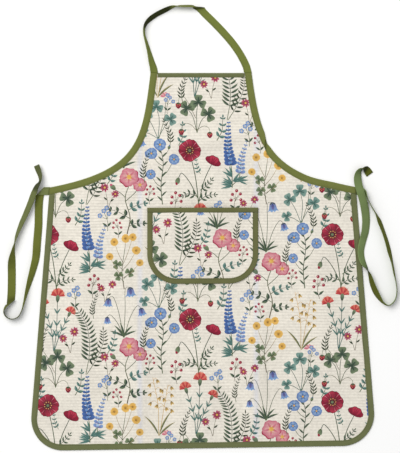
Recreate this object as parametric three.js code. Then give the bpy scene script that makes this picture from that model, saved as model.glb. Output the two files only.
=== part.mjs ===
// A bib apron laid flat, front up, on the plane z = 0. X runs across the apron,
// Y runs from the hem to the bib and Z is up. The origin lies on that plane,
// under the middle of the apron with its neck loop. All sizes are millimetres.
import * as THREE from 'three';

// Outline of the apron, to the outer edge of its binding.
const BIB = { halfWidth: 103, top: 314, lean: -3.4 };
const UNDERARM = { halfWidth: 312, y: 81 };
const ARMHOLE_HANDLES = { bib: [121, 171], underarm: [135, 115] };
const HEM = { halfWidth: 355, y: -451, cornerRadius: 65, skew: 5.5 };

// Layers: woven cloth, the flaps of the folded binding and the tape of the ties.
const CLOTH = 1.2;
const FLAP = 1.0;
const GAP = 0.3;
const TAPE = 1.6;
const CLOTH_INSET = 2;
const SLOT_HALF = CLOTH / 2 + GAP;
const CHANNEL_HALF = SLOT_HALF + FLAP;
const FOLD_ROUND = 0.6;
const JOIN_GAP = 0.4;

// Width of the binding that shows on each edge, and of the free tapes.
const BINDING = { hem: 12, bib: 9, armhole: 14, pocket: 11, mouth: 10 };
const NECK_WIDTH = 15;
const TIE_WIDTH = 16;

// Patch pocket with a puffed mouth, to the outer edge of its binding.
const POCKET = { x: 0, halfWidth: 113, top: 39.5, bottom: -115.5, cornerRadius: 60, puff: 8.5 };

// Levels of the middle of the cloth above the plane.
const RIM_LEVEL = CHANNEL_HALF;
const FLOOR_LEVEL = 0.8;
const POCKET_LEVEL = FLOOR_LEVEL + CLOTH / 2 + GAP + CHANNEL_HALF;
const FLAT_RIM = 18;
const RIM_EASE = 26;

// Spacing of the facets.
const COLUMN = 26;
const POCKET_COLUMN = 14;
const COLUMN_CLEAR = 1 / 3;
const ARMHOLE_STEPS = 18;
const SIDE_STEPS = 18;
const SIDE_BINDING_STEPS = 6;
const CORNER_STEPS = 8;
const BIB_STEPS = 4;
const POCKET_ROWS = 5;

// Soft folds of the laid cloth: a ridge line, its half-width and its height. A
// fold rises and dies away over a share of its length at both ends.
const FOLD_TAPER = 0.22;
const FOLDS = [
  { name: 'left press fold', from: [-138, 70], to: [-132, -440], width: 34, height: 4.5 },
  { name: 'right press fold', from: [112, -122], to: [106, -440], width: 32, height: 4.5 },
  { name: 'fold across the bib', from: [-110, 150], to: [120, 196], width: 30, height: 3.2 },
  { name: 'left skirt swell', from: [-236, 30], to: [-268, -390], width: 58, height: 3.4 },
  { name: 'right skirt swell', from: [214, 70], to: [262, -330], width: 56, height: 3.6 },
  { name: 'middle skirt swell', from: [-12, -130], to: [4, -430], width: 46, height: 2.8 },
  { name: 'left shoulder drag', from: [-250, 92], to: [-100, 60], width: 28, height: 2.4 },
  { name: 'right shoulder drag', from: [120, 130], to: [250, 60], width: 30, height: 2.4 },
  { name: 'right hem flute', from: [196, -250], to: [186, -440], width: 34, height: 2.6 },
];

// Routes of the free tapes, chosen along the middle of each tape. Lift is the
// height of its lowest edge, tilt is 0 lying front up, 90 on edge and 180 lying
// back up, and across is the direction of a cut end or a crease, where it has one.
const ROUTE_COLUMNS = ['x', 'y', 'lift', 'tilt', 'across'];
const NECK_ROUTE = [
  [-98.9, 314.4, 1.1, 0, 180],
  [-101, 326, 0.5, 24],
  [-104, 336, 0.3, 38],
  [-106.5, 346, 0.3, 49],
  [-109, 356, 0.3, 60],
  [-112, 367, 0.3, 66],
  [-115.5, 379, 0.3, 72],
  [-119, 393, 0.3, 79],
  [-119, 405, 0.3, 80],
  [-115, 415, 0.3, 70],
  [-106.5, 424, 0.3, 58],
  [-92.5, 433.5, 0.3, 59],
  [-74.5, 442.5, 0.3, 60],
  [-61.5, 448.2, 0.3, 76],
  [-50.5, 449.8, 0.3, 104],
  [-36.5, 449.7, 0.3, 112],
  [-19.5, 449.3, 0.3, 112],
  [-8, 446.8, 0.9, 0, 3],
  [5.9, 433.4, 0.3, 0],
  [20.2, 419.5, 0.3, 0],
  [39.5, 399.5, 0.3, 0],
  [57.9, 378.5, 0.3, 0],
  [72.1, 359, 0.3, 0],
  [82.6, 341, 0.3, 0],
  [89, 327, 0.5, 0],
  [92.1, 314.4, 1.1, 0, 0],
];
const LEFT_TIE_ROUTE = [
  [-313.4, 73.4, 1.1, 0, 265.4],
  [-330, 73, 3, 0, 228],
  [-330, 73, 0.8, 180, 228],
  [-333, 57, 0.3, 180],
  [-334.5, 34, 0.3, 180],
  [-335, 4, 0.3, 180],
  [-337.5, -29, 0.3, 174],
  [-340, -62, 0.3, 155],
  [-345.5, -86, 0.3, 142],
  [-352.5, -111, 0.3, 125],
  [-358.5, -133, 0.3, 107],
  [-363.5, -153, 0.3, 93],
  [-368.5, -170, 0.3, 85],
  [-375.5, -182.5, 0.3, 86],
  [-387.5, -187.5, 0.3, 93],
  [-398.5, -184, 0.3, 95],
  [-404.5, -175, 0.3, 97],
  [-403.6, -166.2, 0.3, 98],
  [-391.4, -153.2, 2, 180, 33],
  [-391.4, -153.2, 0.3, 180, 33],
  [-389.9, -131.6, 0.3, 178],
  [-389.3, -98, 0.3, 182],
  [-389, -74, 0.3, 200],
  [-386, -50, 0.3, 250],
  [-380.5, -23, 0.3, 290],
  [-370.5, 4, 0.3, 309],
  [-360.5, 26, 1.2, 317],
  [-351, 48, 3.2, 322],
  [-343.5, 68, 4.8, 322],
  [-337, 83, 4.8, 308],
  [-331, 92.5, 2.4, 285],
  [-331, 104, 0.3, 306],
  [-335, 116, 0.3, 318],
  [-338.5, 125.5, 0.3, 320],
];
const RIGHT_TIE_ROUTE = [
  [313.4, 73.4, 1.1, 0, 94.6],
  [318.5, 73, 0.3, 16],
  [325, 73.8, 0.3, 44],
  [330.5, 71, 0.3, 74],
  [333.5, 64, 0.3, 92],
  [337.5, 54, 0.3, 97],
  [344, 41, 0.3, 97],
  [352.5, 26.5, 0.3, 100],
  [359.5, 11.5, 0.3, 126],
  [367.5, -9, 0.3, 120],
  [374.5, -30, 0.3, 122],
  [380, -51, 0.3, 124],
  [385, -71, 0.3, 108],
  [389, -92, 0.3, 106],
  [393, -112, 0.3, 97],
  [395, -132, 0.3, 97],
  [390.5, -150, 0.3, 96],
  [378.5, -159.5, 0.3, 93],
  [367, -154, 0.3, 98],
  [359, -143.5, 0.3, 118],
  [352, -131.5, 0.3, 130],
  [344.5, -113, 0.3, 122],
  [339.5, -96, 0.3, 104],
  [334, -84.5, 0.3, 72],
  [326, -71, 0.3, 38],
  [322, -51, 0.6, 32],
  [325.5, -30, 0.6, 26],
  [331, -9, 0.3, 14],
  [333, 12, 0.3, 6],
  [331, 33, 1.6, -6],
  [326.5, 53, 5, -18],
  [320.5, 73, 6.4, -20],
  [316, 92, 5.2, -4],
  [316, 107, 2.4, 26],
  [320, 116, 0.4, 58],
  [325.5, 119.5, 0.3, 90],
  [329.8, 119, 1, 132],
  [334.8, 115.6, 0.3, 168],
  [340.8, 107.2, 0.3, 180],
];
const TAPE_STEP = 11;

// Colour and roughness of each material.
const PRINTED_CLOTH = { color: 0xe9e2d2, roughness: 0.9 };
const EDGE_TAPE = { color: 0x6e7350, roughness: 0.85 };
const ARMHOLE_TAPE = { color: 0x798049, roughness: 0.85 };
const TIE_TAPE = { color: 0x707a4c, roughness: 0.85 };

// Plane geometry of the outline.
const armhole = new THREE.CubicBezierCurve(
  new THREE.Vector2(BIB.halfWidth, BIB.top),
  new THREE.Vector2(...ARMHOLE_HANDLES.bib),
  new THREE.Vector2(...ARMHOLE_HANDLES.underarm),
  new THREE.Vector2(UNDERARM.halfWidth, UNDERARM.y),
);
const underarm = new THREE.Vector2(UNDERARM.halfWidth, UNDERARM.y);
const sharpCorner = new THREE.Vector2(HEM.halfWidth, HEM.y);
const sideDirection = sharpCorner.clone().sub(underarm).normalize();
const sideOutward = new THREE.Vector2(-sideDirection.y, sideDirection.x);
const cornerSweep = Math.PI / 2 + Math.atan2(sideOutward.y, sideOutward.x);
const cornerReach = HEM.cornerRadius * Math.tan(cornerSweep / 2);
const cornerCentre = new THREE.Vector2(sharpCorner.x - cornerReach, HEM.y + HEM.cornerRadius);

function smoothstep(low, high, value) {
  return THREE.MathUtils.smoothstep(value, low, high);
}

// A station is a point on an outer edge and the step inwards from it, so that a
// point at depth d lies at edge + d * inward.
function station(edge, inward) {
  return { edge, inward };
}

function at(stop, depth) {
  return stop.edge.clone().addScaledVector(stop.inward, depth);
}

function armholeStations() {
  const stops = [];
  for (let step = 0; step <= ARMHOLE_STEPS; step += 1) {
    const t = step / ARMHOLE_STEPS;
    const tangent = armhole.getTangent(t);
    stops.push(station(armhole.getPoint(t), new THREE.Vector2(tangent.y, -tangent.x)));
  }
  return stops;
}

// The point of the side edge that lies a given depth inside the armhole's edge.
function belowArmhole(depth) {
  const tangent = armhole.getTangent(1);
  const slope = sideDirection.x * tangent.y - sideDirection.y * tangent.x;
  return underarm.clone().addScaledVector(sideDirection, depth / slope);
}

function sideStations(start, count) {
  const inward = sideOutward.clone().negate();
  const end = cornerCentre.clone().addScaledVector(sideOutward, HEM.cornerRadius);
  return Array.from({ length: count + 1 }, (_, step) =>
    station(start.clone().lerp(end, step / count), inward));
}

function arcStations(centre, radius, fromAngle, toAngle, count) {
  const stops = [];
  for (let step = 0; step <= count; step += 1) {
    const angle = fromAngle + ((toAngle - fromAngle) * step) / count;
    const outward = new THREE.Vector2(Math.cos(angle), Math.sin(angle));
    stops.push(station(centre.clone().addScaledVector(outward, radius), outward.clone().negate()));
  }
  return stops;
}

function hemCornerStations() {
  return arcStations(cornerCentre, HEM.cornerRadius, cornerSweep - Math.PI / 2, -Math.PI / 2, CORNER_STEPS);
}

function mirror(stops, axis = 0) {
  const flip = (point) => new THREE.Vector2(2 * axis - point.x, point.y);
  return stops
    .map((stop) => station(flip(stop.edge), new THREE.Vector2(-stop.inward.x, stop.inward.y)))
    .reverse();
}

// The right half of the cloth's own edge, from the bib down to the hem.
function clothEdge() {
  const inset = (stops) => stops.map((stop) => at(stop, CLOTH_INSET));
  const side = inset(sideStations(belowArmhole(CLOTH_INSET), SIDE_STEPS));
  const sideX = (y) => side[0].x + ((y - side[0].y) * sideDirection.x) / sideDirection.y;
  const top = new THREE.Vector2(BIB.halfWidth - CLOTH_INSET, BIB.top - CLOTH_INSET);
  const upper = inset(armholeStations()).filter((point) => point.y < top.y && point.x < sideX(point.y));
  return [top, ...upper, ...side, ...inset(hemCornerStations()).slice(1)];
}

// How far a point of the pattern lies inside the outline.
const outlineSegments = (() => {
  const right = [
    new THREE.Vector2(0, BIB.top),
    ...armholeStations().map((stop) => stop.edge),
    ...sideStations(underarm, 1).slice(1).map((stop) => stop.edge),
    ...hemCornerStations().slice(1).map((stop) => stop.edge),
    new THREE.Vector2(0, HEM.y),
  ];
  return right.slice(1).map((end, index) => new THREE.Line3(
    new THREE.Vector3(right[index].x, right[index].y, 0),
    new THREE.Vector3(end.x, end.y, 0),
  ));
})();

function depthInside(u, v) {
  const point = new THREE.Vector3(Math.abs(u), v, 0);
  const nearest = new THREE.Vector3();
  const distances = outlineSegments.map((line) =>
    line.closestPointToPoint(point, true, nearest).distanceTo(point));
  return Math.min(...distances);
}

// Height of the middle of the laid cloth.
function ridge(fold, u, v) {
  const [x0, y0] = fold.from;
  const along = new THREE.Vector2(fold.to[0] - x0, fold.to[1] - y0);
  const length = along.length();
  along.normalize();
  const place = ((u - x0) * along.x + (v - y0) * along.y) / length;
  const aside = Math.abs((v - y0) * along.x - (u - x0) * along.y) / fold.width;
  if (place <= 0 || place >= 1 || aside >= 1) return 0;
  const ends = smoothstep(0, FOLD_TAPER, place) * (1 - smoothstep(1 - FOLD_TAPER, 1, place));
  return fold.height * ends * Math.cos((aside * Math.PI) / 2) ** 2;
}

function pocketCover(u, v) {
  const middle = (POCKET.top + POCKET.bottom) / 2;
  const dx = Math.max(Math.abs(u - POCKET.x) - POCKET.halfWidth, 0);
  const dy = Math.max(Math.abs(v - middle) - (POCKET.top - middle), 0);
  return 1 - smoothstep(COLUMN, 2 * COLUMN, Math.hypot(dx, dy));
}

function bodyHeight(u, v) {
  const inside = smoothstep(FLAT_RIM, FLAT_RIM + RIM_EASE, depthInside(u, v));
  const swell = FOLDS.reduce((sum, fold) => sum + ridge(fold, u, v), 0);
  const level = THREE.MathUtils.lerp(RIM_LEVEL, FLOOR_LEVEL, inside);
  return level + swell * inside * (1 - pocketCover(u, v));
}

function pocketHeight(u, v) {
  const reach = POCKET.halfWidth - BINDING.pocket - CLOTH_INSET;
  const across = Math.min(Math.abs(u - POCKET.x) / reach, 1);
  const drop = (POCKET.top - v) / (POCKET.top - POCKET.bottom - BINDING.pocket - CLOTH_INSET);
  const down = Math.cos((Math.min(Math.max(drop, 0), 1) * Math.PI) / 2) ** 2;
  return POCKET_LEVEL + POCKET.puff * (1 - across ** 2) ** 2 * down;
}

// From the flat pattern to the apron as it lies, with its bib leaning a little
// to one side and its hem a little askew.
function lay(u, v, z) {
  const lean = BIB.lean * smoothstep(UNDERARM.y, BIB.top, v);
  const lower = ((BIB.top - v) / (BIB.top - HEM.y)) ** 2;
  return new THREE.Vector3(u + lean, v + HEM.skew * (u / HEM.halfWidth) * lower, z);
}

// A closed solid from points and triangles, turned so that its faces point out.
function solid(points, triangles) {
  const volume = triangles.reduce((sum, [a, b, c]) =>
    sum + points[a].dot(new THREE.Vector3().crossVectors(points[b], points[c])), 0);
  const order = volume < 0 ? triangles.map(([a, b, c]) => [a, c, b]) : triangles;
  const geometry = new THREE.BufferGeometry().setFromPoints(points);
  geometry.setIndex(order.flat());
  geometry.computeVertexNormals();
  return geometry;
}

// A cloth wall from rows of the pattern, each with its y and its two edges. A
// flat band along both edges lies inside the binding.
function clothPanel(rows, column, band, height) {
  const front = [];
  const back = [];
  const clear = band + column * COLUMN_CLEAR;
  const grid = rows.map(({ v, left, right }) => {
    const columns = [left, left + band];
    for (let u = Math.ceil(left / column) * column; u < right; u += column) {
      if (u > left + clear && u < right - clear) columns.push(u);
    }
    return [...columns, right - band, right].map((u) => {
      const z = height(u, v);
      front.push(lay(u, v, z + CLOTH / 2));
      back.push(lay(u, v, z - CLOTH / 2));
      return { u, index: front.length - 1 };
    });
  });
  const half = front.length;
  const triangles = [];
  const wall = (a, b) => triangles.push([a, a + half, b], [b, a + half, b + half]);
  for (let row = 1; row < grid.length; row += 1) {
    const upper = grid[row - 1];
    const lower = grid[row];
    let i = 0;
    let j = 0;
    while (i < upper.length - 1 || j < lower.length - 1) {
      const upperNext = i < upper.length - 1 ? upper[i + 1].u : Infinity;
      const lowerNext = j < lower.length - 1 ? lower[j + 1].u : Infinity;
      const corner = upperNext <= lowerNext ? upper[i + 1] : lower[j + 1];
      const face = [upper[i].index, lower[j].index, corner.index];
      triangles.push(face, [face[0] + half, face[2] + half, face[1] + half]);
      if (upperNext <= lowerNext) i += 1;
      else j += 1;
    }
    wall(upper[0].index, lower[0].index);
    wall(lower[lower.length - 1].index, upper[upper.length - 1].index);
  }
  const first = grid[0];
  const last = grid[grid.length - 1];
  for (let i = 1; i < first.length; i += 1) wall(first[i].index, first[i - 1].index);
  for (let i = 1; i < last.length; i += 1) wall(last[i - 1].index, last[i].index);
  return solid([...front, ...back], triangles);
}

// A solid swept through rings that all have the same flat section.
function sweep(rings, section) {
  const count = section.length;
  const points = rings.flat();
  const triangles = [];
  for (let ring = 1; ring < rings.length; ring += 1) {
    for (let side = 0; side < count; side += 1) {
      const a = (ring - 1) * count + side;
      const b = (ring - 1) * count + ((side + 1) % count);
      triangles.push([a, b, a + count], [b, b + count, a + count]);
    }
  }
  const caps = THREE.ShapeUtils.triangulateShape(section, []);
  const end = (rings.length - 1) * count;
  const signed = THREE.ShapeUtils.area(section) > 0 ? 1 : -1;
  for (const [a, b, c] of caps) {
    const start = signed > 0 ? [a, c, b] : [a, b, c];
    triangles.push(start, [end + start[0], end + start[2], end + start[1]]);
  }
  return solid(points, triangles);
}

// Folded binding: a channel that holds the cloth's edge between two flaps.
function channelSection(width) {
  const corner = CHANNEL_HALF - FOLD_ROUND;
  return [
    [FOLD_ROUND, CHANNEL_HALF], [0, corner], [0, -corner], [FOLD_ROUND, -CHANNEL_HALF],
    [width, -CHANNEL_HALF], [width, -SLOT_HALF], [FLAP, -SLOT_HALF],
    [FLAP, SLOT_HALF], [width, SLOT_HALF], [width, CHANNEL_HALF],
  ].map(([depth, rise]) => new THREE.Vector2(depth, rise));
}

function binding(stops, width, height) {
  const section = channelSection(width);
  const rings = stops.map((stop) => section.map((corner) => {
    const place = at(stop, corner.x);
    return lay(place.x, place.y, height(place.x, place.y) + corner.y);
  }));
  return sweep(rings, section);
}

// Flat tape along a route, which may lie, stand on edge, twist or fold over.
function flatTape(route, width) {
  const rows = route.map((row) => Object.fromEntries(ROUTE_COLUMNS.map((name, i) => [name, row[i]])));
  const radians = THREE.MathUtils.degToRad;
  const middle = rows.map(({ x, y, lift, tilt }) => {
    const rise = (TAPE / 2) * Math.abs(Math.cos(radians(tilt)));
    return new THREE.Vector3(x, y, lift + rise + (width / 2) * Math.abs(Math.sin(radians(tilt))));
  });
  const across = rows.map(({ tilt, across: cut }, i) => {
    const before = middle[Math.max(i - 1, 0)];
    const after = middle[Math.min(i + 1, rows.length - 1)];
    const left = Math.atan2(after.y - before.y, after.x - before.x) + Math.PI / 2;
    if (cut !== undefined) return new THREE.Vector3(Math.cos(radians(cut)), Math.sin(radians(cut)), 0);
    const flat = Math.cos(radians(tilt));
    return new THREE.Vector3(flat * Math.cos(left), flat * Math.sin(left), Math.sin(radians(tilt)));
  });
  const curve = new THREE.CatmullRomCurve3(middle, false, 'centripetal');
  const stops = [];
  for (let i = 1; i < rows.length; i += 1) {
    const pieces = Math.max(2, Math.round(middle[i].distanceTo(middle[i - 1]) / TAPE_STEP));
    for (let piece = i === 1 ? 0 : 1; piece <= pieces; piece += 1) {
      stops.push({ row: i - 1, part: piece / pieces });
    }
  }
  const half = width / 2;
  const shoulder = half - TAPE / 2;
  const section = [
    [half, 0], [shoulder, TAPE / 2], [-shoulder, TAPE / 2],
    [-half, 0], [-shoulder, -TAPE / 2], [shoulder, -TAPE / 2],
  ].map(([aside, rise]) => new THREE.Vector2(aside, rise));
  const rings = stops.map(({ row, part }) => {
    const t = (row + part) / (rows.length - 1);
    const tangent = curve.getTangent(t);
    const wide = across[row].clone().lerp(across[row + 1], part).normalize();
    const up = tangent.clone().cross(wide);
    const square = up.length();
    up.normalize();
    return section.map((corner) => curve.getPoint(t)
      .addScaledVector(wide, corner.x / square)
      .addScaledVector(up, corner.y));
  });
  return sweep(rings, section);
}

// Body panel of the apron.
function bodyPanel() {
  const rows = clothEdge().map((point) => ({ v: point.y, left: -point.x, right: point.x }));
  return clothPanel(rows, COLUMN, FLAT_RIM - CLOTH_INSET, bodyHeight);
}

// Binding down one side, along the hem and up the other side. Its two ends are
// cut along the armhole binding that covers the corner.
function hemBinding() {
  const armholeEnd = armholeStations().pop();
  const along = new THREE.Vector2(armholeEnd.inward.y, -armholeEnd.inward.x);
  const start = belowArmhole(BINDING.armhole + JOIN_GAP);
  const cut = station(start, along.divideScalar(-along.dot(sideOutward)));
  const right = [cut, ...sideStations(start, SIDE_BINDING_STEPS).slice(1), ...hemCornerStations().slice(1)];
  return binding([...right, ...mirror(right)], BINDING.hem, bodyHeight);
}

// Binding of the bib's top edge, between the two armhole bindings.
function bibBinding() {
  const end = BIB.halfWidth - BINDING.armhole - JOIN_GAP;
  const stops = Array.from({ length: BIB_STEPS + 1 }, (_, step) => {
    const u = THREE.MathUtils.lerp(-end, end, step / BIB_STEPS);
    return station(new THREE.Vector2(u, BIB.top), new THREE.Vector2(0, -1));
  });
  return binding(stops, BINDING.bib, bodyHeight);
}

// Binding of the right armhole, cut along the bib's top and along the side.
function armholeStops() {
  const stops = armholeStations();
  const first = stops[0];
  const last = stops[stops.length - 1];
  first.inward = new THREE.Vector2(-1, 0);
  last.inward = sideDirection.clone().divideScalar(sideDirection.dot(last.inward));
  return stops;
}

function pocketEdge(depth) {
  const { x, halfWidth, top, bottom, cornerRadius } = POCKET;
  const centre = new THREE.Vector2(x + halfWidth - cornerRadius, bottom + cornerRadius);
  const inward = new THREE.Vector2(-1, 0);
  const side = [top - depth, (top - depth + centre.y) / 2, centre.y].map((y) =>
    station(new THREE.Vector2(x + halfWidth, y), inward));
  return [...side, ...arcStations(centre, cornerRadius, 0, -Math.PI / 2, CORNER_STEPS).slice(1)];
}

function pocketPanel() {
  const edge = pocketEdge(CLOTH_INSET);
  const [top, , bottom] = edge;
  const straight = Array.from({ length: POCKET_ROWS }, (_, row) =>
    station(top.edge.clone().lerp(bottom.edge, row / POCKET_ROWS), top.inward));
  const rows = [...straight, ...edge.slice(2)].map((stop) => {
    const point = at(stop, CLOTH_INSET);
    return { v: point.y, left: 2 * POCKET.x - point.x, right: point.x };
  });
  return clothPanel(rows, POCKET_COLUMN, BINDING.pocket, pocketHeight);
}

function pocketMouthBinding() {
  const count = Math.round((2 * POCKET.halfWidth) / POCKET_COLUMN);
  const stops = Array.from({ length: count + 1 }, (_, i) => {
    const u = POCKET.x - POCKET.halfWidth + (2 * POCKET.halfWidth * i) / count;
    return station(new THREE.Vector2(u, POCKET.top), new THREE.Vector2(0, -1));
  });
  return binding(stops, BINDING.mouth, pocketHeight);
}

function pocketRimBinding() {
  const right = pocketEdge(BINDING.mouth + JOIN_GAP);
  return binding([...right, ...mirror(right, POCKET.x)], BINDING.pocket, pocketHeight);
}

function piece(name, geometry, finish) {
  const mesh = new THREE.Mesh(geometry, new THREE.MeshStandardMaterial({ ...finish, metalness: 0 }));
  mesh.name = name;
  return mesh;
}

const apron = new THREE.Group();
apron.name = 'apron';
const right = armholeStops();
apron.add(
  piece('body_panel', bodyPanel(), PRINTED_CLOTH),
  piece('hem_binding', hemBinding(), EDGE_TAPE),
  piece('bib_binding', bibBinding(), EDGE_TAPE),
  piece('armhole_binding_right', binding(right, BINDING.armhole, bodyHeight), ARMHOLE_TAPE),
  piece('armhole_binding_left', binding(mirror(right), BINDING.armhole, bodyHeight), ARMHOLE_TAPE),
  piece('neck_loop', flatTape(NECK_ROUTE, NECK_WIDTH), ARMHOLE_TAPE),
  piece('tie_left', flatTape(LEFT_TIE_ROUTE, TIE_WIDTH), TIE_TAPE),
  piece('tie_right', flatTape(RIGHT_TIE_ROUTE, TIE_WIDTH), TIE_TAPE),
  piece('pocket_panel', pocketPanel(), PRINTED_CLOTH),
  piece('pocket_mouth_binding', pocketMouthBinding(), EDGE_TAPE),
  piece('pocket_rim_binding', pocketRimBinding(), EDGE_TAPE),
);

export default apron;
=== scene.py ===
# %% [markdown]
# # A bib apron, laid flat
# The real thing is cut from one panel of ribbed, printed cotton. Green tape is folded over
# every edge and sewn down, a patch pocket sits on the front, and three lengths of the same
# tape run free: a loop for the neck and two ties for the waist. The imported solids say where
# each piece lies. This lesson dresses every one of them in cloth, print, tape and thread,
# and draws in millimetres, as a pattern cutter does, until a mesh is made in metres.

# %% Load the solids
import math

import bpy
import numpy as np
from mathutils.geometry import delaunay_2d_cdt
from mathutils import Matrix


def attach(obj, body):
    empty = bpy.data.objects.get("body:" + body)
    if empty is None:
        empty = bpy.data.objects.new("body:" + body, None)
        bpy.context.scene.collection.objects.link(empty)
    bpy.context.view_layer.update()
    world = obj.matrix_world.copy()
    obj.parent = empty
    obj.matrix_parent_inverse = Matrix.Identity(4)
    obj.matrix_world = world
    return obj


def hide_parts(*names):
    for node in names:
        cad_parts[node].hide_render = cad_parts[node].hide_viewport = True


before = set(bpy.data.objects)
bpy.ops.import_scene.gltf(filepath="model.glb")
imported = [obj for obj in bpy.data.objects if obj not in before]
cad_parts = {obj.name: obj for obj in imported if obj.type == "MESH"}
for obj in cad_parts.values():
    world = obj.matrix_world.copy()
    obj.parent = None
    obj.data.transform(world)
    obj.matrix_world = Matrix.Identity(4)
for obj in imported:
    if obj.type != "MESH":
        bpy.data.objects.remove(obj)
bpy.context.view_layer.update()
MM = 0.001
scene = bpy.context.scene
print("solids to dress:", ", ".join(sorted(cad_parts)))

# %% [markdown]
# ## Camera
# The apron was photographed from straight above. A wide lens close by would swell whatever
# stands up towards it, so a long lens looks down from three metres instead. A camera that is
# not turned already looks down with Y up the picture, so only its place and its lens are set.

# %% Camera
IMAGE_WIDTH = 400
IMAGE_HEIGHT = 453
PIXEL = 2.04 * MM
ORIGIN_PIXEL = (202.7, 227.0)
CAMERA_HEIGHT = 3.0
SENSOR = 36.0

view = bpy.data.cameras.new("view_from_above")
view.sensor_fit = "VERTICAL"
view.sensor_height = SENSOR
view.lens = SENSOR * CAMERA_HEIGHT / (IMAGE_HEIGHT * PIXEL)
camera = bpy.data.objects.new("camera_above", view)
camera.location.x = (IMAGE_WIDTH / 2 - ORIGIN_PIXEL[0]) * PIXEL
camera.location.y = (ORIGIN_PIXEL[1] - IMAGE_HEIGHT / 2) * PIXEL
camera.location.z = CAMERA_HEIGHT
scene.collection.objects.link(camera)
scene.camera = camera
print(f"camera {CAMERA_HEIGHT} m up with a {view.lens:.0f} mm lens")

# %% [markdown]
# ## Materials as small graphs
# Every finish here is a graph of nodes, and no pictures are read. One helper adds a node and
# fills its sockets: a socket that is given another node's output is linked, and anything else
# is set as a plain value. That keeps each finish readable as a short list.

# %% Node helpers
# Numbers of the sockets that a Mix node uses for colours.
COLOUR_A = 6
COLOUR_B = 7
COLOUR_OUT = 2


def add_node(tree, kind, sockets, **settings):
    """Adds a node, sets its options and fills its sockets by name or number."""
    node = tree.nodes.new(kind)
    for name, value in settings.items():
        setattr(node, name, value)
    for name, value in sockets.items():
        if isinstance(value, bpy.types.NodeSocket):
            tree.links.new(value, node.inputs[name])
        else:
            node.inputs[name].default_value = value
    return node


def new_finish(name, **sockets):
    """A material whose shader has these plain values, with its graph and its shader."""
    material = bpy.data.materials.new(name)
    material.use_nodes = True
    shader = material.node_tree.nodes["Principled BSDF"]
    for socket, value in sockets.items():
        shader.inputs[socket.replace("_", " ")].default_value = value
    return material, material.node_tree, shader


def ink(code):
    """A colour written as six hex digits, as linear red, green and blue."""
    parts = np.array([int(code[i:i + 2], 16) for i in (0, 2, 4)]) / 255
    return np.where(parts <= 0.04045, parts / 12.92, ((parts + 0.055) / 1.055) ** 2.4)


def opaque(code):
    return (*ink(code), 1.0)


def scaled_tone(tree, colour, factor):
    """A colour that is made lighter or darker by a factor worked out in the graph."""
    return add_node(tree, "ShaderNodeVectorMath", {0: colour, 1: factor}, operation="MULTIPLY").outputs[0]


def spread(tree, value, low, high):
    """A texture's 0 to 1 stretched to run from low to high."""
    return add_node(tree, "ShaderNodeMapRange", {"Value": value, "To Min": low, "To Max": high}).outputs[0]


def maths(tree, operation, *values):
    """One sum of the graph."""
    return add_node(tree, "ShaderNodeMath", dict(enumerate(values)), operation=operation).outputs[0]


def product(tree, first, *others):
    """Several graph values multiplied together."""
    for other in others:
        first = maths(tree, "MULTIPLY", first, other)
    return first


def noise(tree, place, scale, detail):
    """Clouds of noise from 0 to 1."""
    sockets = {"Vector": place, "Scale": scale, "Detail": detail}
    return add_node(tree, "ShaderNodeTexNoise", sockets).outputs[0]


def carried(tree, name, output):
    """A value that the mesh carries under a name."""
    return add_node(tree, "ShaderNodeAttribute", {}, attribute_name=name).outputs[output]


def blend(tree, share, first, second):
    """A colour between two others."""
    sockets = {0: share, COLOUR_A: first, COLOUR_B: second}
    return add_node(tree, "ShaderNodeMix", sockets, data_type="RGBA").outputs[COLOUR_OUT]


def dress(tree, shader, colour, relief, strength, depth):
    """Gives a shader a colour and a bump that the graph works out."""
    tree.links.new(colour, shader.inputs["Base Color"])
    bump = add_node(tree, "ShaderNodeBump", {"Strength": strength, "Distance": depth, "Height": relief})
    tree.links.new(bump.outputs[0], shader.inputs["Normal"])


print("helpers for finishes are ready")

# %% [markdown]
# ## Floor and light
# The apron lies on a plain white table under soft studio light. The brighter side is at the
# upper left, so folds that lean to the lower right are in shade. A pale sky gives about half
# of the light, and one wide panel gives the rest and its direction. A hard sun would draw
# shadows that no studio shows.

# %% Floor
FLOOR_HALF = 12.0
FLOOR_SIGNS = np.array([(-1, -1, 0), (1, -1, 0), (1, 1, 0), (-1, 1, 0)])
floor_mesh = bpy.data.meshes.new("table_top")
floor_mesh.from_pydata((FLOOR_SIGNS * FLOOR_HALF).tolist(), [], [(0, 1, 2, 3)])
floor = bpy.data.objects.new("table_top", floor_mesh)
scene.collection.objects.link(floor)

FLOOR_TONES = (0.93, 0.96)
floor_finish, tree, shader = new_finish("white_table", Roughness=0.85, Specular_IOR_Level=0.2)
mottle = add_node(tree, "ShaderNodeTexNoise", {"Scale": 6.0, "Detail": 3.0})
tree.links.new(spread(tree, mottle.outputs[0], *FLOOR_TONES), shader.inputs["Base Color"])
floor_mesh.materials.append(floor_finish)
print(f"white table, {2 * FLOOR_HALF:.0f} m across")

# %% Light
SKY_STRENGTH = 0.58
SKY_COLOUR = (0.98, 0.99, 1.0, 1.0)
PANEL_COLOUR = (1.0, 0.985, 0.96)
PANEL_PLACE = (-1.7, 1.9, 4.0)
PANEL_SIZE = 3.0
PANEL_POWER = 162.0

sky = bpy.data.worlds.new("studio_sky")
sky.use_nodes = True
background = sky.node_tree.nodes["Background"]
background.inputs["Color"].default_value = SKY_COLOUR
background.inputs["Strength"].default_value = SKY_STRENGTH
scene.world = sky

panel = bpy.data.lights.new("soft_panel", "AREA")
panel.size = PANEL_SIZE
panel.energy = PANEL_POWER
panel.color = PANEL_COLOUR
lamp = bpy.data.objects.new("soft_panel", panel)
lamp.location = PANEL_PLACE
lamp.rotation_euler = (-lamp.location).to_track_quat("-Z", "Y").to_euler()
scene.collection.objects.link(lamp)
scene.view_settings.view_transform = "Standard"
print(f"panel of {PANEL_POWER:.0f} W at the upper left, sky at {SKY_STRENGTH}")

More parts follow.
